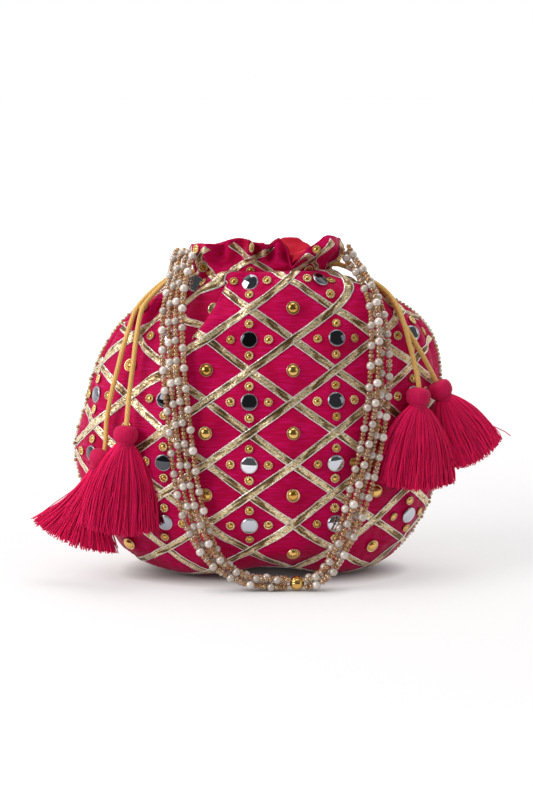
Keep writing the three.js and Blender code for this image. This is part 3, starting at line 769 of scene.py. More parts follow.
def yarns(tree, across, along, direction, distortion):
    """Even bands from 0 to 1, as of yarns that lie this many millimetres apart."""
    # The wave repeats 20 times in 2 pi units of its coordinates, and 10 times on a slant.
    turn = math.tau / (10 if direction == "DIAGONAL" else 20)
    inputs = {"Vector": sized(tree, across, along), "Scale": turn, "Distortion": distortion}
    return add_node(tree, "ShaderNodeTexWave", inputs, bands_direction=direction).outputs["Fac"]


def by_shade(tree, stops):
    """A colour for each copy or thread, picked by its own shade, which is random from 0 to 1."""
    shade = add_node(tree, "ShaderNodeAttribute", attribute_name="shade").outputs["Fac"]
    return add_node(tree, RAMP, {0: shade}, stops).outputs[0]


def relief(tree, shader, *layers):
    """Presses patterns into the surface, each with its strength and its depth in millimetres."""
    under = {}
    for height, strength, depth in layers:
        inputs = {"Height": height, "Strength": strength, "Distance": depth * MM, **under}
        under = {"Normal": add_node(tree, "ShaderNodeBump", inputs).outputs[0]}
    set_inputs(tree, shader, under)


def grey(value):
    return (value, value, value)


def toned(tone, share):
    """A colour with this share of its light."""
    return tuple(min(1.0, part * share) for part in tone)


def raw_silk(colours):
    """Hand-woven raw silk: uneven slubs along the weft give fine streaks of light and dark, and the
    crossed threads a soft sheen."""
    made, tree, shader = material("Raw silk")
    weft = grain(tree, 11.11, 0.7937, 4)
    warp = grain(tree, 0.7813, 12.5)
    silk = tuple(colours.silk)
    dark = tuple(part * share for part, share in zip(silk, (0.84, 0.7, 0.68)))
    streaks = add_node(tree, RAMP, {0: weft}, [(0.25, dark), (0.5, silk), (0.8, tuple(colours.silk_weft))])
    # Large soft patches of painted shade darken the silk and turn it redder.
    painted_shade_stops = [(0.32, (0.82, 0.72, 0.62)), (0.5, grey(0.96)), (0.66, grey(1.0))]
    patches = add_node(tree, RAMP, {0: grain(tree, 31.25, detail=2)}, painted_shade_stops)
    mixed = add_node(
        tree, "ShaderNodeMix", {0: 1.0, 6: streaks.outputs[0], 7: patches.outputs[0]},
        data_type="RGBA", blend_type="MULTIPLY",
    )
    rough = add_node(tree, RAMP, {0: weft}, [(0.3, grey(0.62)), (0.7, grey(0.42))])
    # Real threads are about 0.2 mm apart. They are drawn 1.2 mm apart so that the weave shows.
    weave = yarns(tree, 1.2083, 1.2083, "Y", 3.0)
    relief(tree, shader, (warp, 0.12, 0.6), (weft, 0.35, 0.8), (weave, 0.12, 0.3))
    set_inputs(tree, shader, {
        "Base Color": mixed.outputs[2], "Roughness": rough.outputs[0], "Specular IOR Level": 0.28,
        "Specular Tint": (*colour("FF5CB4"), 1.0), "Sheen Weight": 0.19, "Sheen Roughness": 0.3,
        "Sheen Tint": (*colour("FF66B4"), 1.0),
    })
    return made


def smooth_lining(colours):
    """Plain-woven rayon lining: even, slightly shiny and with hardly any texture."""
    made, tree, shader = material("Rayon lining")
    red = tuple(colours.lining)
    soft = add_node(tree, RAMP, {0: grain(tree, 16.667)}, [(0.3, toned(red, 0.8)), (0.7, red)])
    relief(tree, shader, (grain(tree, 1.6667), 0.15, 0.4))
    set_inputs(tree, shader, {
        "Base Color": soft.outputs[0], "Roughness": 0.55, "Sheen Weight": 0.03, "Specular IOR Level": 0.15,
    })
    return made


def metallic_ribbon(colours):
    """Flat-woven metallic ribbon: crinkled foil yarns in the middle, with painted highlights and painted
    dark reflections in their colour, and a pale twisted yarn runs along each edge."""
    made, tree, shader = material("Metallic woven ribbon")
    place = add_node(tree, "ShaderNodeTexCoord")
    split = add_node(tree, "ShaderNodeSeparateXYZ", {0: place.outputs["UV"]})
    off_middle = add_node(tree, "ShaderNodeMath", {0: split.outputs[0], 1: 0.0}, operation="ABSOLUTE")
    # The UV map's first number is the distance from the ribbon's middle, 0.025 at its edge.
    edge = add_node(tree, "ShaderNodeMapRange", {0: off_middle.outputs[0], 1: 0.0186, 2: 0.0198}).outputs[0]
    foil = grain(tree, 2.1053, 0.65789, 4, 0.7)
    cells = add_node(tree, "ShaderNodeTexVoronoi", {"Vector": sized(tree, 0.8333, 1.1905), "Scale": 1.0})
    # Creases a few millimetres wide and a couple of centimetres long are pressed in, and whole stretches
    # along them are painted dark: painted dark reflections.
    crease_and_painted_dark = grain(tree, 4.5455, 18.182, 2)
    gold = tuple(colours.gold)
    # The crinkled foil's colour runs from very dark to pale: painted dark reflections and painted highlights.
    painted_glints = [(0.38, toned(gold, 0.16)), (0.47, gold), (0.57, colour("FFF4D2"))]
    light = add_node(tree, RAMP, {0: foil}, painted_glints)
    painted_dark_reflections = [(0.4, (0.2, 0.14, 0.09)), (0.45, (0.45, 0.36, 0.28)), (0.5, grey(1.0))]
    dark = add_node(tree, RAMP, {0: crease_and_painted_dark}, painted_dark_reflections)
    golds_with_painted_light = add_node(
        tree, "ShaderNodeMix", {0: 1.0, 6: light.outputs[0], 7: dark.outputs[0]},
        data_type="RGBA", blend_type="MULTIPLY",
    )
    mixed = add_node(
        tree, "ShaderNodeMix", {0: edge, 6: golds_with_painted_light.outputs[2], 7: (*colours.edge, 1.0)}, data_type="RGBA"
    )
    rough = add_node(tree, RAMP, {0: foil}, [(0.35, grey(0.48)), (0.65, grey(0.25))])
    relief(tree, shader, (crease_and_painted_dark, 1.0, 1.8), (cells.outputs["Distance"], 0.5, 0.4), (edge, 0.6, 0.3))
    set_inputs(tree, shader, {"Base Color": mixed.outputs[2], "Roughness": rough.outputs[0], "Metallic": 0.7})
    return made


def plating(name, base, worn, roughness):
    """Plated metal whose shade differs a little from piece to piece, with a fine polished grain."""
    made, tree, shader = material(name)
    relief(tree, shader, (grain(tree, 0.5556, source="Object"), 0.12, 0.1))
    tones = by_shade(tree, [(0.0, colour(worn)), (0.6, colour(base))])
    set_inputs(tree, shader, {"Base Color": tones, "Metallic": 1.0, "Roughness": roughness})
    return made


def mirror_glass():
    """Small hand-cut mirror: silvered glass, nearly flat. The dark ones show a painted dark reflection."""
    made, tree, shader = material("Silvered mirror glass")
    relief(tree, shader, (grain(tree, 6.25, detail=1, source="Object"), 0.08, 0.6))
    # Each mirror's colour is picked by its shade, and the dark ones are painted reflections of a dark room.
    painted_reflection_tones = [
        (0.0, colour("26272B")), (0.5, colour("6E7077")), (0.75, colour("A9ACB6")), (1.0, colour("E6E8EE")),
    ]
    set_inputs(tree, shader, {"Base Color": by_shade(tree, painted_reflection_tones), "Metallic": 1.0, "Roughness": 0.05})
    return made


def satin_cord(colours):
    """Rattail: rayon satin woven over a core, with a soft lengthwise shine and fine slanting yarns."""
    made, tree, shader = material("Satin rattail")
    satin = yarns(tree, 1.848, 3.36, "DIAGONAL", 1.0)
    gold = tuple(colours.cord)
    # The slanting yarns are painted darker in the grooves between them: painted shade.
    golds_with_painted_light = add_node(tree, RAMP, {0: satin}, [(0.1, toned(gold, 0.78)), (0.75, gold)])
    relief(tree, shader, (satin, 0.25, 0.3))
    set_inputs(tree, shader, {
        "Base Color": golds_with_painted_light.outputs[0], "Roughness": 0.45, "Sheen Weight": 0.15, "Specular IOR Level": 0.35,
    })
    return made


def silky_thread(colours):
    """Rayon tassel thread: silky, each thread a slightly different pink."""
    made, tree, shader = material("Rayon tassel thread")
    pink = tuple(colours.thread)
    tones = by_shade(tree, [(0.0, toned(pink, 0.72)), (0.5, pink), (1.0, toned(pink, 1.25))])
    set_inputs(tree, shader, {
        "Base Color": tones, "Roughness": 0.5, "Sheen Weight": 0.05, "Specular IOR Level": 0.1,
    })
    return made


def wound_thread(colours):
    """The same thread wound tight over the tassel's head: fine lines run over it lengthwise."""
    made, tree, shader = material("Wound tassel thread")
    # Real threads are about 0.4 mm apart. They are drawn 0.75 mm apart so that they show.
    lines = yarns(tree, 0.748, 0.748, "X", 1.4)
    pink = tuple(colours.thread)
    # The lines are painted darker in the grooves between the threads: painted shade.
    reds_with_painted_shade = add_node(tree, RAMP, {0: lines}, [(0.1, toned(pink, 0.6)), (0.8, toned(pink, 0.9))])
    relief(tree, shader, (lines, 0.5, 0.3))
    set_inputs(tree, shader, {
        "Base Color": reds_with_painted_shade.outputs[0], "Roughness": 0.5, "Sheen Weight": 0.05, "Specular IOR Level": 0.12,
    })
    return made


def pearl_lustre(colours):
    """Coated pearl bead: warm white with a thin clear lacquer and a faint pinkish depth."""
    made, tree, shader = material("Lacquered pearl")
    cream = tuple(colours.pearl)
    tones = by_shade(tree, [(0.0, toned(cream, 0.84)), (0.6, cream), (1.0, colour("E9DED6"))])
    set_inputs(tree, shader, {
        "Base Color": tones, "Roughness": 0.3, "Metallic": 0.2, "Coat Weight": 1.0, "Coat Roughness": 0.06,
    })
    return made


def seed_glass(colours):
    """Amber and gold-lined seed beads: small, glossy and partly metallic."""
    made, tree, shader = material("Gold-lined seed beads")
    ambers = by_shade(tree, [
        (0.0, colour("C87A30")), (0.3, tuple(colours.amber)), (0.6, colour("F2C488")),
        (0.95, colour("FBEFE2")),
    ])
    # Painted highlights and painted shade within the glass, in specks about a millimetre across.
    highlight_and_bump_pattern = grain(tree, 1.3333, detail=2, roughness=0.6, source="Object")
    painted_highlight_spots = [(0.32, colour("94551F")), (0.48, colour("E0A55F")), (0.6, colour("FFF6E6"))]
    # The painted highlights and shade take nearly half of each bead's colour.
    depth = add_node(tree, RAMP, {0: highlight_and_bump_pattern}, painted_highlight_spots)
    mixed = add_node(tree, "ShaderNodeMix", {0: 0.45, 6: ambers, 7: depth.outputs[0]}, data_type="RGBA")
    relief(tree, shader, (highlight_and_bump_pattern, 0.3, 0.4))
    set_inputs(tree, shader, {
        "Base Color": mixed.outputs[2], "Roughness": 0.04, "Metallic": 0.2, "Transmission Weight": 0.8,
        "Coat Weight": 0.5, "Coat Roughness": 0.03,
    })
    return made


def trim_beads():
    """Seam beads: gold and pearly ones mixed on one thread."""
    made, tree, shader = material("Mixed seam beads")
    tones = by_shade(tree, [
        (0.0, colour("8F6A34")), (0.4, colour("CBA86A")), (0.7, colour("E4D6C2")), (1.0, colour("F2EAE2")),
    ])
    set_inputs(tree, shader, {"Base Color": tones, "Roughness": 0.25, "Metallic": 0.25, "Coat Weight": 0.6})
    return made


def matte_thread():
    """Polyester sewing thread: pale and matt, only its colour shows at this size."""
    made, tree, shader = material("Sewing thread")
    soft = grain(tree, 1.1111, detail=2, source="Object")
    tones = add_node(tree, RAMP, {0: soft}, [(0.3, colour("C9A06A")), (0.7, colour("E7CFA4"))])
    set_inputs(tree, shader, {"Base Color": tones.outputs[0], "Roughness": 0.7})
    return made


def finishes(context):
    """Every material by the name of its finish, made once."""
    colours = context.scene.pouch_colours
    makers = {
        "silk": ("Raw silk", lambda: raw_silk(colours)),
        "lining": ("Rayon lining", lambda: smooth_lining(colours)),
        "ribbon": ("Metallic woven ribbon", lambda: metallic_ribbon(colours)),
        "gold": ("Gold plating", lambda: plating("Gold plating", "E6BA6C", "CE9A4A", 0.24)),
        "pale": ("Pale gold plating", lambda: plating("Pale gold plating", "E2CF9A", "BFA262", 0.3)),
        "silver": ("Silver plating", lambda: plating("Silver plating", "C9CBCF", "9B9DA3", 0.3)),
        "mirror": ("Silvered mirror glass", mirror_glass),
        "cord": ("Satin rattail", lambda: satin_cord(colours)),
        "thread": ("Rayon tassel thread", lambda: silky_thread(colours)),
        "wound": ("Wound tassel thread", lambda: wound_thread(colours)),
        "pearl": ("Lacquered pearl", lambda: pearl_lustre(colours)),
        "seed": ("Gold-lined seed beads", lambda: seed_glass(colours)),
        "trim": ("Mixed seam beads", trim_beads),
        "string": ("Sewing thread", matte_thread),
    }
    return {key: bpy.data.materials.get(name) or make() for key, (name, make) in makers.items()}


# The pieces

SIDES = (("front", -1), ("back", 1))
# Grids of the panels and the lining, and the stations at which the lining is folded and ends.
PANEL_COLUMNS, BODY_ROWS, NECK_ROWS = 231, 110, 85
LINING_COLUMNS, LINING_FOLD, LINING_TOP = 100, 1.2, 12.9
LINING_THICKNESS = 0.5
# The lining's ring inside the cords' tunnels: its middle, half width and half depth.
RING_MIDDLE, RING_HALF_WIDTH, RING_HALF_DEPTH = 3, 33, 13.9


class MakePiece:
    """What every operator here shares."""

    bl_options = {"REGISTER"}


class POUCH_OT_panels(MakePiece, bpy.types.Operator):
    """Makes the two silk panels, gathered at the neck, with their frill."""

    bl_idname = "pouch.panels"
    bl_label = "Silk panels"

    def execute(self, context):
        # The columns lie closer in the neck's folds, left of the middle, and the rows in the neck.
        u = np.linspace(-1, 1, PANEL_COLUMNS)
        u -= 0.09 * np.sin(np.pi * u) * np.cos(np.pi * u / 2) ** 2
        v = np.append(np.linspace(0, 8, BODY_ROWS, endpoint=False), np.linspace(8, LAST_STATION, NECK_ROWS))
        across, up = np.meshgrid(u, v)
        for name, side in SIDES:
            points = cloth(across.ravel(), up.ravel(), side)
            uv = np.stack(to_cloth(across.ravel(), up.ravel()), 1)
            mesh = mesh_from(f"{name}_silk", points, grid_faces(len(v), len(u), flip=side > 0), uv)
            panel = new_object(f"{name}_silk", mesh)
            solidify(panel, context.scene.pouch_sizes.silk, -1)
            finish_piece(panel, "bag", "silk", finishes(context)["silk"], f"{name}_panel")
        return {"FINISHED"}


def lining_point(u, v, side):
    """The lining hangs just inside the silk, and leaves it in the casing to make the cord's tunnel."""
    low = 1 - smooth(v, 2, SHOULDER)
    narrow = u * (1 - 0.2 * low)
    point = cloth(narrow, v, side, -1.7 - 1.5 * low)
    if side < 0:
        # It keeps well back behind the front's slanting fold.
        beside = smooth(narrow, -0.62, -0.45) * (1 - smooth(narrow, -0.05, 0.12))
        point[:, 1] += 9 * beside * smooth(v, 6, 7) * (1 - smooth(v, 9.6, 10.6))
    point[:, 2] += 4 * low
    angle = u * np.pi / 2
    deep = side * RING_HALF_DEPTH * np.maximum(np.cos(angle), 0) ** 0.9
    ring = np.stack([RING_MIDDLE + RING_HALF_WIDTH * np.sin(angle), deep, point[:, 2]], 1)
    share = (smooth(v, 9.8, 10.8) * (1 - smooth(v, 12.1, 12.7)))[:, None]
    point = point * (1 - share) + ring * share
    point[:, 1] = side * np.maximum(side * point[:, 1], 0)
    point[np.abs(u) > 0.999, 1] = 0
    return point


class POUCH_OT_lining(MakePiece, bpy.types.Operator):
    """Makes the lining, an inner bag folded at its bottom."""

    bl_idname = "pouch.lining"
    bl_label = "Lining"

    def execute(self, context):
        half = LINING_COLUMNS
        v = np.append(np.linspace(2, 9, 36, endpoint=False), np.linspace(9, LINING_TOP, 44))
        u = np.linspace(-1, 1, half + 1)
        front = [lining_point(u[:-1], np.full(half, level), -1) for level in v]
        back = [lining_point(u[::-1][:-1], np.full(half, level), 1) for level in v]
        fold = lining_point(u, np.full(half + 1, LINING_FOLD), -1)
        fold[:, 1] = 0
        fold[:, 2] += 4.5
        first = np.vstack([fold[:-1], fold[::-1][:-1]])
        points = np.vstack([first, *[np.vstack(pair) for pair in zip(front, back)]])
        around = np.concatenate([u[:-1], u[::-1][:-1]]) * 150
        uv = np.stack([np.tile(around, len(v) + 1), np.repeat(np.concatenate([[0], v * 20]), 2 * half)], 1)
        mesh = mesh_from("lining_cloth", points, grid_faces(len(v) + 1, 2 * half, closed=True), uv)
        lining = new_object("lining_cloth", mesh)
        weld = lining.modifiers.new("Join the fold", "WELD")
        weld.merge_threshold = 0.00002
        plain(lining)
        solidify(lining, LINING_THICKNESS * MM, -1)
        finish_piece(lining, "bag", "lining", finishes(context)["lining"], "lining")
        return {"FINISHED"}


# A ribbon's cross-section: a crinkled middle between two woven edges, as shares of half its width.
RIBBON_BANDS = np.array([-1, -0.76, -0.35, 0.35, 0.76, 1])
# Its underside's height over the silk, how much higher it crosses another, and its least height
# over the floor.
RIBBON_LIFT, CROSSING_LIFT, LOWEST_RIBBON = 0.18, 0.4, 0.42
# Its UV map: the edge's place, the length of one diamond's side, and the shift from ribbon to ribbon.
RIBBON_EDGE_MAP, RIBBON_STEP_MAP, RIBBON_SHIFT_MAP = 2.5, 33, 40


def ribbon_runs():
    """The stretches of ribbon on one side: each line's number, its steps and whether it falls."""
    half = ribbon_half_width()
    steps = np.arange(-9, 9, 1 / 30)
    for number in range(-7, 9):
        for falling in (True, False):
            inside = np.ones(len(steps), bool)
            for edge in (number - half, number + half):
                line = np.full(len(steps), edge)
                s, t = lattice_point(line, steps) if falling else lattice_point(steps, line)
                u, _ = on_cloth(s, t)
                inside &= (np.abs(u) < INSIDE_SEAMS) & (t > 3) & (t < UP_LENGTHS[-1] - 1.5)
            starts = np.flatnonzero(np.diff(np.concatenate([[0], inside.astype(int), [0]])))
            for a, b in zip(starts[::2], starts[1::2]):
                if b - a > 4:
                    yield number, steps[a:b], falling


def ribbon_half_width():
    """Half a ribbon's width, as a share of the way from one ribbon to the next."""
    width = bpy.context.scene.pouch_sizes.ribbon_width / MM
    return width / 2 * math.hypot(1 / CELL_WIDTH, 1 / CELL_HEIGHT)


class POUCH_OT_ribbons(MakePiece, bpy.types.Operator):
    """Makes the metallic ribbons of the lattice. Those that rise to the right cross over the others."""

    bl_idname = "pouch.ribbons"
    bl_label = "Ribbon lattice"

    def execute(self, context):
        sizes = context.scene.pouch_sizes
        half, bands = ribbon_half_width(), RIBBON_BANDS
        step_length = math.hypot(CELL_WIDTH, CELL_HEIGHT) / 2
        chance = np.random.default_rng(sizes.seed)
        for name, side in SIDES:
            points, faces, uv, start = [], [], [], 0
            for number, run, falling in ribbon_runs():
                along, band = np.meshgrid(run, bands * half + number, indexing="ij")
                p, q = (band, along) if falling else (along, band)
                u, v = on_cloth(*lattice_point(p.ravel(), q.ravel()))
                to_crossing = np.abs(along - np.round(along)).ravel() * step_length
                over = 0.0 if falling else CROSSING_LIFT * (1 - smooth(to_crossing, 2.2, 7))
                crinkle = np.repeat(chance.normal(0, 0.07, len(run)), len(bands))
                crinkle += chance.normal(0, 0.035, u.size)
                height = RIBBON_LIFT + over + np.clip(crinkle, -0.12, 0.2)
                ribbon = cloth(np.clip(u, -0.99, 0.99), v, side, height)
                ribbon[:, 2] = np.maximum(ribbon[:, 2], LOWEST_RIBBON)
                points.append(ribbon)
                faces.append(grid_faces(len(run), len(bands), flip=(side < 0) == falling) + start)
                down_ribbon = along.ravel() * RIBBON_STEP_MAP + RIBBON_SHIFT_MAP * number
                uv.append(np.stack([np.tile(bands * RIBBON_EDGE_MAP, len(run)), down_ribbon], 1))
                start += u.size
            mesh = mesh_from(f"{name}_ribbons", np.vstack(points), np.vstack(faces), np.vstack(uv))
            ribbons = new_object(f"{name}_ribbons", mesh)
            solidify(ribbons, sizes.ribbon, 1)
            finish_piece(ribbons, "bag", "gold", finishes(context)["ribbon"], f"{name}_ribbon_lattice")
        return {"FINISHED"}


# How far up the cloth, in millimetres, the sewn trimmings start and where each kind ends.
SEWN_FROM, MIRRORS_TO, SEQUINS_TO, STUDS_TO = 48, 245, 280, 250
# Where the four sequins round a mirror lie, across and up from its middle.
SEQUINS_ROUND = ((11.5, 0), (-11.5, 0), (0, 9.5), (0, -9.5))


def centres(half, limit, top):
    """Places of the diamonds' middles: whole steps hold mirrors, half steps hold studs."""
    s, t = np.meshgrid(
        LATTICE_OFFSET + (np.arange(-4, 5) + half / 2) * CELL_WIDTH,
        FIRST_MIRROR_ROW + (np.arange(-1, 6) + half / 2) * CELL_HEIGHT,
    )
    u, _ = on_cloth(s.ravel(), t.ravel())
    keep = (np.abs(u) < limit) & (t.ravel() > SEWN_FROM) & (t.ravel() < top)
    return s.ravel()[keep], t.ravel()[keep]


def sewn(s, t, side, height):
    """Points, facings, acrosses and sizes for copies on the cloth, clear of the seams and the floor."""
    u, v = on_cloth(np.asarray(s, float), np.asarray(t, float))
    keep = (np.abs(u) < 0.95) & (cloth(u, v, side)[:, 2] > 3)
    u, v = u[keep], v[keep]
    towards, across = facing(u, v, side)
    return cloth(u, v, side, height), towards, across, np.ones(len(u))


def sew(name, shape, places, slot, look, variation, seed, nodes=()):
    """One finished piece of copies of a shape, sewn on the bag."""
    finish_piece(copies(name, shape.copy(), places, look, variation, seed), "bag", slot, look, *nodes)


class POUCH_OT_mirrors(MakePiece, bpy.types.Operator):
    """Makes the sewn mirrors, each in a silvery rim, with four flower sequins round it."""

    bl_idname = "pouch.mirrors"
    bl_label = "Mirrors and sequins"

    def execute(self, context):
        sizes = context.scene.pouch_sizes
        look = finishes(context)
        radius = sizes.mirror / MM / 2
        pane = profile(radius, (0, 0), (0.96, 0), (1, 0.3), (1, 0.75), (0.93, 1.0), (0, 1.0))
        glass = turned("mirror_shape", pane, 28)
        rim = ring_shape("rim_shape", radius + 0.05, 0.5, 40, 6, lambda a: 1 + 0.08 * np.cos(20 * a))
        rosette = sizes.sequin / MM / 2
        cup = ring_shape("sequin_shape", rosette - 0.6, 0.6, 48, 6, lambda a: 1 + 0.4 * np.cos(12 * a))
        knob = profile(rosette, (0, 0), (0.66, 0), (0.68, 0.5), (0.5, 1.1), (0.25, 1.4), (0, 1.5))
        knot = turned("knot_shape", knob, 12)
        for name, side in SIDES:
            middles = centres(0, 0.9, MIRRORS_TO)
            nodes = [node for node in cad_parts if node.startswith(f"{name}_mirror_")]
            panes, rings = sewn(*middles, side, 0.35), sewn(*middles, side, 0.15)
            sew(f"{name}_mirrors", glass, panes, "mirror", look["mirror"], 0.02, 3, nodes)
            sew(f"{name}_mirror_rims", rim, rings, "mirror", look["silver"], 0.02, 3)
            middles = np.transpose(centres(0, 0.9, SEQUINS_TO))
            round_them = [middle + beside for middle in middles for beside in SEQUINS_ROUND]
            petals = np.array([place for place in round_them if place[1] < UP_LENGTHS[-1] - 3.5]).T
            petals = sewn(*petals, side, 0.1)
            sew(f"{name}_sequins", cup, petals, "gold", look["pale"], 0.06, 5)
            sew(f"{name}_sequin_domes", knot, petals, "gold", look["gold"], 0.06, 6)
        return {"FINISHED"}


class POUCH_OT_studs(MakePiece, bpy.types.Operator):
    """Makes the dome studs on their gold cups, in the diamonds between the mirrors."""

    bl_idname = "pouch.studs"
    bl_label = "Dome studs"

    def execute(self, context):
        radius = context.scene.pouch_sizes.stud / MM / 2
        look = finishes(context)
        dish = profile(
            radius, (0, 0), (0.9, 0), (1, 0.5), (0.98, 1.15), (0.93, 1.35), (0.87, 1.15), (0, 1.1)
        )
        cap = profile(
            radius, (0, 0.4), (0.79, 0.4), (0.81, 1.0), (0.72, 1.8), (0.5, 2.4), (0.26, 2.75), (0, 2.85)
        )
        cup, dome = turned("cup_shape", dish, 36), turned("dome_shape", cap, 28)
        for name, side in SIDES:
            places = sewn(*centres(1, 0.92, STUDS_TO), side, 0.1)
            sew(f"{name}_stud_cups", cup, places, "gold", look["pale"], 0.03, 11)
            sew(f"{name}_stud_domes", dome, places, "gold", look["gold"], 0.03, 12)
        return {"FINISHED"}


# Where the seam beads end under the casing, how deep they sit on the seam, and where picots stand.
TRIM_TOP, TRIM_SUNK = 10.55, 0.9
PICOT_OUT, PICOTS_FROM, PICOTS_TO = 0.7, 25, 125


class POUCH_OT_trim(MakePiece, bpy.types.Operator):
    """Makes the string of small beads down the side seams and along the bottom."""

    bl_idname = "pouch.trim"
    bl_label = "Seam beads"

    def execute(self, context):
        bead = context.scene.pouch_sizes.trim_bead / MM
        look = finishes(context)["trim"]
        down = np.arange(TRIM_TOP, 0.2, -0.15)
        bottom = np.linspace(-1, 1, 65)
        u = np.concatenate([np.full(len(down), -1.0), bottom, np.full(len(down), 1.0)])
        v = np.concatenate([down, np.zeros(len(bottom)), down[::-1]])
        front, back = cloth(u, v, -1), cloth(u, v, 1)
        line = (front + back) / 2
        line[:, 1:] = np.stack([np.zeros(len(u)), np.minimum(front[:, 2], back[:, 2])], 1)
        along = unit(np.gradient(line, axis=0))
        outward = np.stack([along[:, 2], np.zeros(len(u)), -along[:, 0]], 1)
        path = line + outward * (bead / 2 - TRIM_SUNK)
        path[:, 2] = np.maximum(path[:, 2], bead / 2 + 0.05)
        path = spline_points(path[::3], bead * 0.98)
        direction, sideways, _ = frames(path)
        # Every fourth bead stands out as a small picot.
        outward = np.cross(direction, [0, 1.0, 0])
        outward *= np.sign(outward @ [1.0, 0, 0] * path[:, 0] + 1e-9)[:, None]
        low = (path[::4, 2] > PICOTS_FROM) & (path[::4, 2] < PICOTS_TO)
        path[::4] += PICOT_OUT * outward[::4] * low[:, None]
        slant = bead * 0.36
        round_bead = [(0, -bead / 2), (slant, -slant), (bead / 2, 0), (slant, slant), (0, bead / 2)]
        ball = turned("trim_bead_shape", round_bead, 8)
        places = path, direction, sideways, np.ones(len(path))
        sew("seam_beads", ball, places, "gold", look, 0.1, 21, ["seam_bead_trim"])
        return {"FINISHED"}


# Routes of the drawstrings' tails, as in the part's source: from the slit to the tassel.
LEFT_FRONT_TAIL = [
    (-50, -3.6, 188.4), (-57, -6.8, 184), (-64.2, -12.2, 177.8), (-70.8, -18.8, 169.6),
    (-74, -25.5, 156.2), (-76, -33, 139), (-78.6, -38, 117.5), (-80, -44, 100.5),
]
LEFT_BACK_TAIL = [
    (-50, 2.2, 188.6), (-57.5, -1.4, 184.8), (-66.6, -6, 177.6), (-75.2, -12.4, 168),
    (-79.6, -21, 156.2), (-83, -27, 145), (-86, -30, 133), (-90, -31.5, 117), (-93, -32, 101), (-94, -36, 84),
]
RIGHT_FRONT_TAIL = [
    (56, -3.8, 193), (64, -7, 188.8), (71.5, -10.4, 184.8), (79, -14.6, 179.6), (85.2, -20.2, 171.8),
    (89.8, -25, 160.6), (92.8, -27.8, 149.5), (96.4, -30.4, 135.6), (98.8, -33.5, 122.5),
]
RIGHT_BACK_TAIL = [
    (56, 1.4, 192.6), (64, -1.6, 188.2), (71, -5.6, 183.8), (77, -10.2, 179.4), (82.8, -15.4, 173.6),
    (87.8, -19.6, 164.2), (92, -22.2, 156.4), (97, -22.8, 148.4), (104, -21.4, 136.2), (110.4, -18.8, 124),
]
# Half of each drawstring's turn inside the casing: from its slit to its far end.
LEFT_RING = [
    (-39, 2.7), (-35.2, 5), (-32, 8), (-26, 11.4), (-14, 14.8), (3, 16.4), (20, 14.6), (31, 11.4),
    (37.5, 6.8),
]
RIGHT_RING = [
    (45, 2.7), (41.2, 5), (37.8, 7.8), (31, 11.4), (20, 14.6), (3, 16.4), (-14, 14.6), (-26, 11), (-32, 6.4),
]
# Each drawstring's ring, far end, slit across the bag and height.
TURNS = {"left": (LEFT_RING, 40, -44, 190), "right": (RIGHT_RING, -34.5, 50, 195)}
# How far each tail lies from the slit's middle, how far it runs into its tassel's head, and how far
# apart a cord's rings are.
EXIT_OFFSET = 2.5
CORD_IN_HEAD, CORD_STEP = 13.0, 1.5

# Name, tail, direction down the tassel, direction it faces, length, half width and half depth.
TASSELS = {
    "left_front": (LEFT_FRONT_TAIL, (-0.07, -0.16, -1), (0.3, -1, 0), 68, 26, 7),
    "left_back": (LEFT_BACK_TAIL, (-0.35, -0.06, -1), (-0.3, -1, 0), 63, 30, 7),
    "right_front": (RIGHT_FRONT_TAIL, (-0.05, -0.1, -1), (0.3, -1, 0), 64, 28, 7),
    "right_back": (RIGHT_BACK_TAIL, (0.48, -0.05, -1), (0.2, -1, 0), 57, 22, 7),
}


def tassel_frame(name):
    """A tassel's top, and its directions down, across and out."""
    tail, down, towards, *_ = TASSELS[name]
    axis = np.array(down) / np.linalg.norm(down)
    across = np.cross(axis, towards)
    across /= np.linalg.norm(across)
    return np.array(tail[-1]) + axis * 0.6, axis, across, np.cross(across, axis)


def round_axis(across, out, angle, reach):
    """Points round a tassel's axis, at these angles and distances."""
    return across * (reach * np.cos(angle))[:, None] + out * (reach * np.sin(angle))[:, None]


# How far down the tassel each radius of its wound head lies.
HEAD_PROFILE = [
    (0.0, 2.4), (0.5, 4.6), (1.4, 6.2), (3, 7.2), (5.2, 7.5), (7.6, 7.3), (9.3, 6.6), (10.3, 5.4),
    (11.5, 4.7), (14, 5.4),
]
HEAD_ROWS, HEAD_SIDES, HEAD_RIDGES = 30, 72, 36
# Where the wrap starts down the tassel, its length, turns, steps and thread.
WRAP_FROM, WRAP_LENGTH, WRAP_TURNS, WRAP_STEPS, WRAP_RADIUS = 10.2, 2.4, 3.6, 120, 0.45
# Where the skirt's threads start, and how far from the tassel's middle.
SKIRT_FROM, SKIRT_NECK = 10.5, 4.6


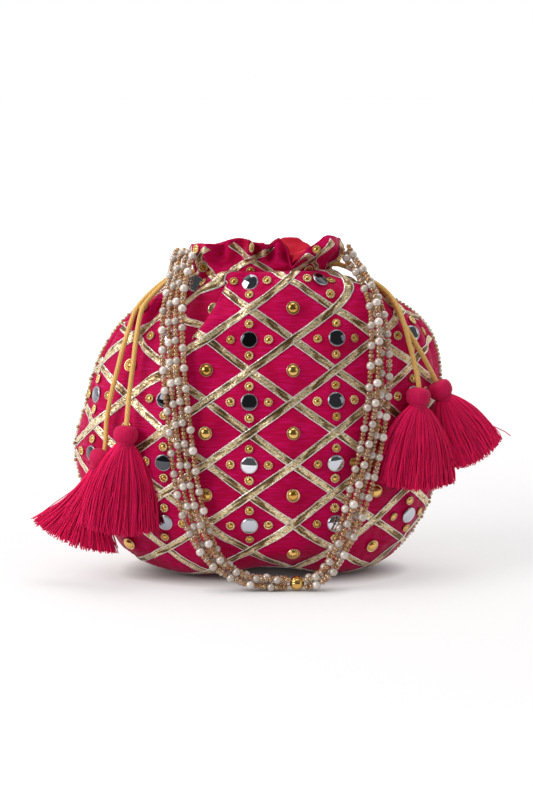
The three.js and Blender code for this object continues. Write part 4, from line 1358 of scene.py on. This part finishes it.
class POUCH_OT_tassels(MakePiece, bpy.types.Operator):
    """Makes the four tassels: a wound head, a binding round its neck and a skirt of cut threads."""

    bl_idname = "pouch.tassels"
    bl_label = "Tassels"

    def execute(self, context):
        look = finishes(context)
        for number, name in enumerate(TASSELS):
            self.head(name, look["wound"])
            self.binding(name, look["wound"])
            self.skirt(name, context.scene.pouch_sizes, look["thread"], number)
        return {"FINISHED"}

    def head(self, name, look):
        top, axis, across, out = tassel_frame(name)
        down, radius = np.array(HEAD_PROFILE).T
        end = down[-1]
        angle = np.arange(HEAD_SIDES) * 2 * np.pi / HEAD_SIDES
        ridge = 1 + 0.022 * np.cos(HEAD_RIDGES * angle)
        points, uv = [], []
        for distance in np.linspace(0, end, HEAD_ROWS):
            reach = np.interp(distance, down, radius) * ridge
            points.append(top + axis * distance + round_axis(across, out, angle, reach))
            uv.append(np.stack([angle * 7, np.full(HEAD_SIDES, distance)], 1))
        points = np.vstack([*points, [top - axis * 0.1], [top + axis * end]])
        uv = np.vstack([*uv, [[0, 0]], [[0, end]]])
        mesh = mesh_from(f"{name}_tassel_head", points, capped_faces(HEAD_ROWS, HEAD_SIDES, flip=True), uv)
        head = new_object(f"{name}_tassel_head", mesh)
        finish_piece(head, "bag", "thread", look, f"{name}_tassel")

    def binding(self, name, look):
        top, axis, across, out = tassel_frame(name)
        angle = np.linspace(0, WRAP_TURNS * 2 * np.pi, WRAP_STEPS)
        distance = WRAP_FROM + WRAP_LENGTH * np.linspace(0, 1, WRAP_STEPS)
        reach = 5.15 + 0.15 * np.sin(angle * 0.5)
        path = top + axis * distance[:, None] + round_axis(across, out, angle, reach)
        coil = new_object(f"{name}_tassel_wrap", tube(f"{name}_tassel_wrap", path, WRAP_RADIUS, 6))
        finish_piece(coil, "bag", "thread", look, f"{name}_tassel_binding")

    def skirt(self, name, sizes, look, number):
        top, axis, across, out = tassel_frame(name)
        *_, run, wide, deep = TASSELS[name]
        chance = np.random.default_rng(sizes.seed + number)
        # The one at the back on the left is brushed aside instead, so that its threads flick outwards.
        bell = 0.0 if name == "left_back" else 0.6
        lines = []
        for _ in range(sizes.tassel_threads):
            angle, share = chance.uniform(0, 2 * np.pi), math.sqrt(chance.uniform(0.12, 1))
            x0, y0 = SKIRT_NECK * share * math.cos(angle), SKIRT_NECK * share * math.sin(angle)
            x1, y1 = wide * share * math.cos(angle), deep * share * math.sin(angle)
            cut = run - 0.4 + min(0.0, chance.normal(0, 1.6))
            end = cut - 6.0 * (x1 / wide) ** 2 - 3.5 * (1 - share)
            t = np.linspace(0, 1, 11)
            # The threads swell out under the binding and then hang, as in a bell.
            spread = bell * (1 - (1 - t) ** 3) + (1 - bell) * t ** (1.7 - 1.4 * bell)
            loose = 3.0 if chance.uniform() < 0.04 else 1.0
            sway = loose * chance.normal(0, 0.9, 2)[:, None]
            curl = sway * np.sin(t * chance.uniform(4, 10) + chance.uniform(0, 6)) * t
            x = x0 + (x1 - x0) * spread + curl[0]
            y = y0 + (y1 - y0) * np.minimum(1, 1.3 * spread) + curl[1] * 0.6
            at = SKIRT_FROM + (end - SKIRT_FROM) * t
            lines.append(top + axis * at[:, None] + across * x[:, None] + out * y[:, None])
        radius = sizes.thread / MM / 2
        skirt = threads(f"{name}_tassel_skirt", lines, radius, look, 4, sizes.seed + number)
        finish_piece(skirt, "bag", "thread", look, f"{name}_tassel")


class POUCH_OT_drawstrings(MakePiece, bpy.types.Operator):
    """Makes the two drawstrings: a turn inside the casing and two tails each, with their tassels."""

    bl_idname = "pouch.drawstrings"
    bl_label = "Drawstrings"

    def execute(self, context):
        diameter, look = context.scene.pouch_sizes.drawstring, finishes(context)["cord"]
        for side in TURNS:
            self.turn(side, diameter, look)
        for name in TASSELS:
            self.tail(name, diameter, look)
        return {"FINISHED"}

    def turn(self, side, diameter, look):
        ring, far_end, slit, height = TURNS[side]
        front = [(slit, -EXIT_OFFSET, height), *[(x, -y, height) for x, y in ring]]
        back = [(x, y, height) for x, y in reversed(ring)] + [(slit, EXIT_OFFSET, height)]
        path = spline_points([*front, (far_end, 0, height), *back], CORD_STEP)
        name = f"{side}_drawstring_turn"
        turn = new_object(name, tube(name, path, diameter / MM / 2, 12))
        finish_piece(turn, "bag", "cord", look, f"{side}_drawstring")

    def tail(self, name, diameter, look):
        side, end = name.split("_")
        _, _, slit, height = TURNS[side]
        exit_at = (slit, -EXIT_OFFSET if end == "front" else EXIT_OFFSET, height)
        tail, (_, axis, _, _) = TASSELS[name][0], tassel_frame(name)
        inner = np.array(tail[-1]) + axis * CORD_IN_HEAD
        path = spline_points([exit_at, *tail, tuple(inner)], CORD_STEP)
        cord = new_object(f"{name}_tail", tube(f"{name}_tail", path, diameter / MM / 2, 12))
        finish_piece(cord, "bag", "cord", look, f"{side}_drawstring")
        path_length(path) * MM


# The handle's route: a point of the middle of the strands, the direction that the band of strands
# faces (0 is -Y, 90 is +X), how far it is folded from a band (0) to a square bundle (90), and where
# it turns over the bag's edge also how far it faces upwards.
HANDLE_LEFT = [
    (-42.4, -1.5, 202.3, -38, 0, 110), (-43.9, -5.5, 203.7, -38, 0, 85),
    (-46.2, -11.5, 200.3, -38, 0, 50), (-48.3, -19, 191.5, -38, 0, 22),
    (-50.2, -26, 182, -36, 0), (-51.8, -33.5, 170.5, -28, 0), (-51.8, -42, 153, -24, 0),
    (-50.4, -50, 130, -20, 0), (-47.5, -55.3, 104, -18, 0),
    (-44.8, -58, 79, -15, 0), (-41, -60, 56, -10, 15), (-34.8, -60.5, 36, -5, 45),
    (-24.5, -59.5, 18.5, 0, 75), (-9, -58, 7.8, 0, 90), (7, -57.5, 5, 0, 90), (19.2, -57.5, 4.8, 0, 90),
]
HANDLE_RIGHT = [
    (28.8, -57.5, 4.8, 0, 90), (35.5, -58, 6.6, 0, 90), (42.5, -59, 12.5, 0, 85), (49, -59, 25, 6, 70),
    (56.5, -57.5, 42, 12, 55), (63, -54.5, 64, 18, 35), (69, -50.5, 88, 24, 25), (72.8, -47, 112, 28, 25),
    (74.3, -43.8, 134, 32, 35), (74.2, -39, 154, 40, 50), (72, -30, 172, 55, 75), (65.3, -18.3, 188, 68, 88),
    (57.6, -8.6, 198.5, 80, 90), (53.6, -5, 206, 90, 90),
]
# Distance between neighbouring strands, and how many seed beads lie between two pearls.
STRAND_SPACING = 4.6
SEEDS_IN_GAP = 3


def strand_points(route, strand):
    """One strand's own line beside the middle of the band, as in the part's source."""
    radius = STRAND_SPACING / 2
    made = []
    for i, (x, y, z, facing_at, folded, *raised) in enumerate(route):
        along = np.array(route[min(i + 1, len(route) - 1)][:3]) - np.array(route[max(i - 1, 0)][:3])
        along /= np.linalg.norm(along)
        turn, fold, lift = np.radians([facing_at, folded, raised[0] if raised else 0])
        level = math.cos(lift)
        outwards = np.cross(along, [math.sin(turn) * level, -math.cos(turn) * level, math.sin(lift)])
        outwards /= np.linalg.norm(outwards)
        towards = np.cross(outwards, along)
        outer = strand in (0, 3)
        across = (1 if strand < 2 else -1) * radius * ((1 + 2 * math.cos(fold)) if outer else 1)
        deep = (-1 if strand % 2 else 1) * radius * math.sin(fold)
        made.append(np.array([x, y, z]) + outwards * across + towards * deep)
    return made


class POUCH_OT_handle(MakePiece, bpy.types.Operator):
    """Makes the handle: four threads of pearls and seed beads that meet in the gold bead."""

    bl_idname = "pouch.handle"
    bl_label = "Beaded handle"

    def execute(self, context):
        sizes = context.scene.pouch_sizes
        look = finishes(context)
        middle = (np.array(HANDLE_LEFT[-1][:3]) + np.array(HANDLE_RIGHT[0][:3])) / 2
        gold = self.gold_bead(middle, sizes, look)
        for strand in range(4):
            left, right = strand_points(HANDLE_LEFT, strand), strand_points(HANDLE_RIGHT, strand)
            close = (left[-1] - middle) * np.array([0, 0.25, 0.25])
            inside = [middle + close + np.array([x, 0, 0]) for x in (-1.5, 1.5)]
            path = spline_points([*left, *inside, *right], 1.0)
            stops = [spline_points(left, 0.25), spline_points(right, 0.25)[::-1]]
            pearls, seeds = self.beads(strand, stops, sizes, look)
            name = f"handle_thread_{strand + 1}"
            thread = new_object(name, tube(name, path, sizes.string / MM / 2, 6))
            nodes = [f"handle_{side}_strand_{strand + 1}" for side in ("left", "right")]
            finish_piece(thread, "handle", "pearl", look["string"], *nodes)
            path_length(path) * MM
        return {"FINISHED"}

    def gold_bead(self, middle, sizes, look):
        ball = ball_profile(sizes.gold_bead / MM / 2, 15)
        shape = turned("gold_bead_shape", ball, 48, lambda a: 1 + 0.035 * np.cos(12 * a) - 0.02)
        place = (np.array([middle]), np.array([[1.0, 0, 0]]), np.array([[0, 0, 1.0]]), [1.0])
        bead = copies("handle_bead", shape, place, look["gold"], 0.0, 4)
        return finish_piece(bead, "handle", "gold", look["gold"], "handle_gold_bead")

    def beads(self, strand, stops, sizes, look):
        pearl, pitch, seed = sizes.pearl / MM, sizes.pearl_pitch / MM, sizes.seed_bead / MM
        chance = np.random.default_rng(sizes.seed + 40 + strand)
        pearls, seeds, gap = [], [], (pitch - pearl) / SEEDS_IN_GAP
        for path in stops:
            run = distances(path)
            direction, across, _ = frames(path)
            start = 3.0 + chance.uniform(0, pitch)
            whole = np.arange(start, run[-1] - pearl / 2 - 0.2, pitch)
            for at in whole:
                pearls.append(self.place(path, run, direction, across, at + chance.normal(0, 0.25)))
            # After the last pearl, seed beads go on until the gold bead.
            for at in np.concatenate([[start - pitch], whole]):
                for k in range(3 * SEEDS_IN_GAP if at == whole[-1] else SEEDS_IN_GAP):
                    here = at + pearl / 2 + gap * (k + 0.5)
                    if 0.6 < here < run[-1] - 0.9:
                        seeds.append(self.place(path, run, direction, across, here))
        balls = turned("pearl_shape", ball_profile(pearl / 2, 9), 16)
        doughnut = profile(
            seed / 2, (0, -1), (0.56, -1.2), (0.9, -0.8), (1, 0), (0.9, 0.8), (0.56, 1.2), (0, 1)
        )
        rounds = turned("seed_shape", doughnut, 12)
        made = []
        for name, places, shape, key, change in (
            ("pearls", pearls, balls, "pearl", 0.06), ("seed_beads", seeds, rounds, "seed", 0.1),
        ):
            places = *(np.array(part) for part in zip(*places)), np.ones(len(places))
            piece = copies(f"handle_{name}_{strand + 1}", shape, places, look[key], change, 50 + strand)
            made.append(finish_piece(piece, "handle", "pearl", look[key]))
        return made

    def place(self, path, run, direction, across, at):
        i = int(np.clip(np.searchsorted(run, at), 0, len(run) - 1))
        return path[i], direction[i], across[i]


# Stage


# Metres. The camera looks at the target from its elevation in degrees, and sees this height there.
TARGET, ELEVATION, DISTANCE, SEEN_HEIGHT = Vector((0.0054, 0.0, 0.1134)), 8.5, 1.3, 0.4952
SENSOR = 36.0
# Each lamp's place, size and power in watts.
LAMPS = {
    "Key": ((-1.5, -0.8, 1.0), 1.1, 24.0),
    "Fill": ((1.6, -0.7, 0.8), 1.0, 3.0),
    "Top": ((0.0, 0.2, 1.7), 1.1, 9.0),
}


class POUCH_OT_stage(MakePiece, bpy.types.Operator):
    """Sets the camera, the pale floor and the soft lights."""

    bl_idname = "pouch.stage"
    bl_label = "Studio"

    def execute(self, context):
        scene = context.scene
        scene.view_settings.view_transform = "Standard"
        self.camera(scene)
        self.floor()
        self.world(scene)
        for name, (place, size, power) in LAMPS.items():
            self.lamp(name, place, size, power)
        return {"FINISHED"}

    def camera(self, scene):
        elevation = math.radians(ELEVATION)
        data = bpy.data.cameras.new("Camera")
        data.sensor_fit = "VERTICAL"
        data.sensor_height = SENSOR
        data.lens = SENSOR * DISTANCE / SEEN_HEIGHT
        camera = bpy.data.objects.new("Camera", data)
        camera.location = TARGET + DISTANCE * Vector((0, -math.cos(elevation), math.sin(elevation)))
        camera.rotation_euler = (TARGET - camera.location).to_track_quat("-Z", "Y").to_euler()
        scene.collection.objects.link(camera)
        scene.camera = camera

    def floor(self):
        mesh = bpy.data.meshes.new("Floor")
        mesh.from_pydata([(-30, -0.46, 0), (30, -0.46, 0), (30, 30, 0), (-30, 30, 0)], [], [(0, 1, 2, 3)])
        floor = new_object("Floor", mesh)
        made, tree, shader = material("White paper")
        rays = add_node(tree, "ShaderNodeLightPath").outputs
        views = {0: rays["Is Camera Ray"], 1: rays["Is Glossy Ray"]}
        seen = add_node(tree, "ShaderNodeMath", views, operation="MAXIMUM")
        # The paper glows a little for the camera, and fully where it fades into the backdrop.
        place = add_node(tree, "ShaderNodeTexCoord").outputs["Object"]
        away = add_node(tree, "ShaderNodeVectorMath", {0: place}, operation="LENGTH").outputs["Value"]
        glow = add_node(tree, "ShaderNodeMapRange", {0: away, 1: 0.3, 2: 2.0, 3: 0.42, 4: 1.0})
        # The glow fades where the bag stands close over the paper: a painted contact shadow.
        painted_contact_shadow = add_node(tree, "ShaderNodeAmbientOcclusion", {"Distance": 0.016})
        deep = add_node(tree, "ShaderNodeMath", {0: painted_contact_shadow.outputs["AO"], 1: 1.3}, operation="POWER")
        lift = glow
        for factor in (deep, seen):
            factors = {0: lift.outputs[0], 1: factor.outputs[0]}
            lift = add_node(tree, "ShaderNodeMath", factors, operation="MULTIPLY")
        set_inputs(tree, shader, {
            "Base Color": (*colour("C4C2C2"), 1.0), "Roughness": 0.9, "Specular IOR Level": 0.1,
            "Emission Color": (1, 1, 1, 1), "Emission Strength": lift.outputs[0],
        })
        mesh.materials.append(made)
        floor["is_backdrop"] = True

    def world(self, scene):
        world = bpy.data.worlds.new("Studio")
        world.use_nodes = True
        tree = world.node_tree
        back = tree.nodes["Background"]
        rays = add_node(tree, "ShaderNodeLightPath")
        # Metal and mirrors show the white backdrop behind the pouch and the dark room behind the camera.
        direction = add_node(tree, "ShaderNodeTexCoord").outputs["Generated"]
        depth = add_node(tree, "ShaderNodeSeparateXYZ", {0: direction}).outputs[1]
        room = add_node(tree, "ShaderNodeMapRange", {0: depth, 1: -0.3, 2: 0.3, 3: 0.09, 4: 1.0})
        strength = 0.5
        for view, seen in (("Is Glossy Ray", room.outputs[0]), ("Is Camera Ray", 1.0)):
            choice = {0: rays.outputs[view], 2: strength, 3: seen}
            strength = add_node(tree, "ShaderNodeMix", choice, data_type="FLOAT").outputs[0]
        set_inputs(tree, back, {"Color": (1, 1, 1, 1), "Strength": strength})
        scene.world = world

    def lamp(self, name, place, size, power):
        data = bpy.data.lights.new(name, "AREA")
        data.size = size
        data.energy = power
        lamp = bpy.data.objects.new(name, data)
        lamp.location = place
        lamp.rotation_euler = (Vector((0, 0, 0.1)) - lamp.location).to_track_quat("-Z", "Y").to_euler()
        bpy.context.scene.collection.objects.link(lamp)


class POUCH_PT_panel(bpy.types.Panel):
    """Lists the pouch's sizes, colours and pieces."""

    bl_label = "Potli bag"
    bl_space_type = "VIEW_3D"
    bl_region_type = "UI"
    bl_category = "Potli bag"

    def draw(self, context):
        for group in (context.scene.pouch_sizes, context.scene.pouch_colours):
            box = self.layout.box()
            for name in group.__annotations__:
                box.prop(group, name)
        for piece in PIECES:
            self.layout.operator(piece.bl_idname)


PIECES = (
    POUCH_OT_stage, POUCH_OT_panels, POUCH_OT_lining, POUCH_OT_ribbons, POUCH_OT_mirrors, POUCH_OT_studs,
    POUCH_OT_trim, POUCH_OT_tassels, POUCH_OT_drawstrings, POUCH_OT_handle,
)
CLASSES = (PouchSizes, PouchColours, *PIECES, POUCH_PT_panel)


def register():
    for kind in CLASSES:
        bpy.utils.register_class(kind)
    bpy.types.Scene.pouch_sizes = PointerProperty(type=PouchSizes)
    bpy.types.Scene.pouch_colours = PointerProperty(type=PouchColours)


def unregister():
    del bpy.types.Scene.pouch_sizes
    del bpy.types.Scene.pouch_colours
    for kind in reversed(CLASSES):
        bpy.utils.unregister_class(kind)


def corners(box):
    """A box's two corners as plain numbers."""
    return [[float(value) for value in corner] for corner in box]


def main():
    register()
    for piece in PIECES:
        group, name = piece.bl_idname.split(".")
        getattr(getattr(bpy.ops, group), name)()
    {"frame": corners(FRAME_BOX), "visual": corners(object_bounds())}


if __name__ == "__main__":
    main()
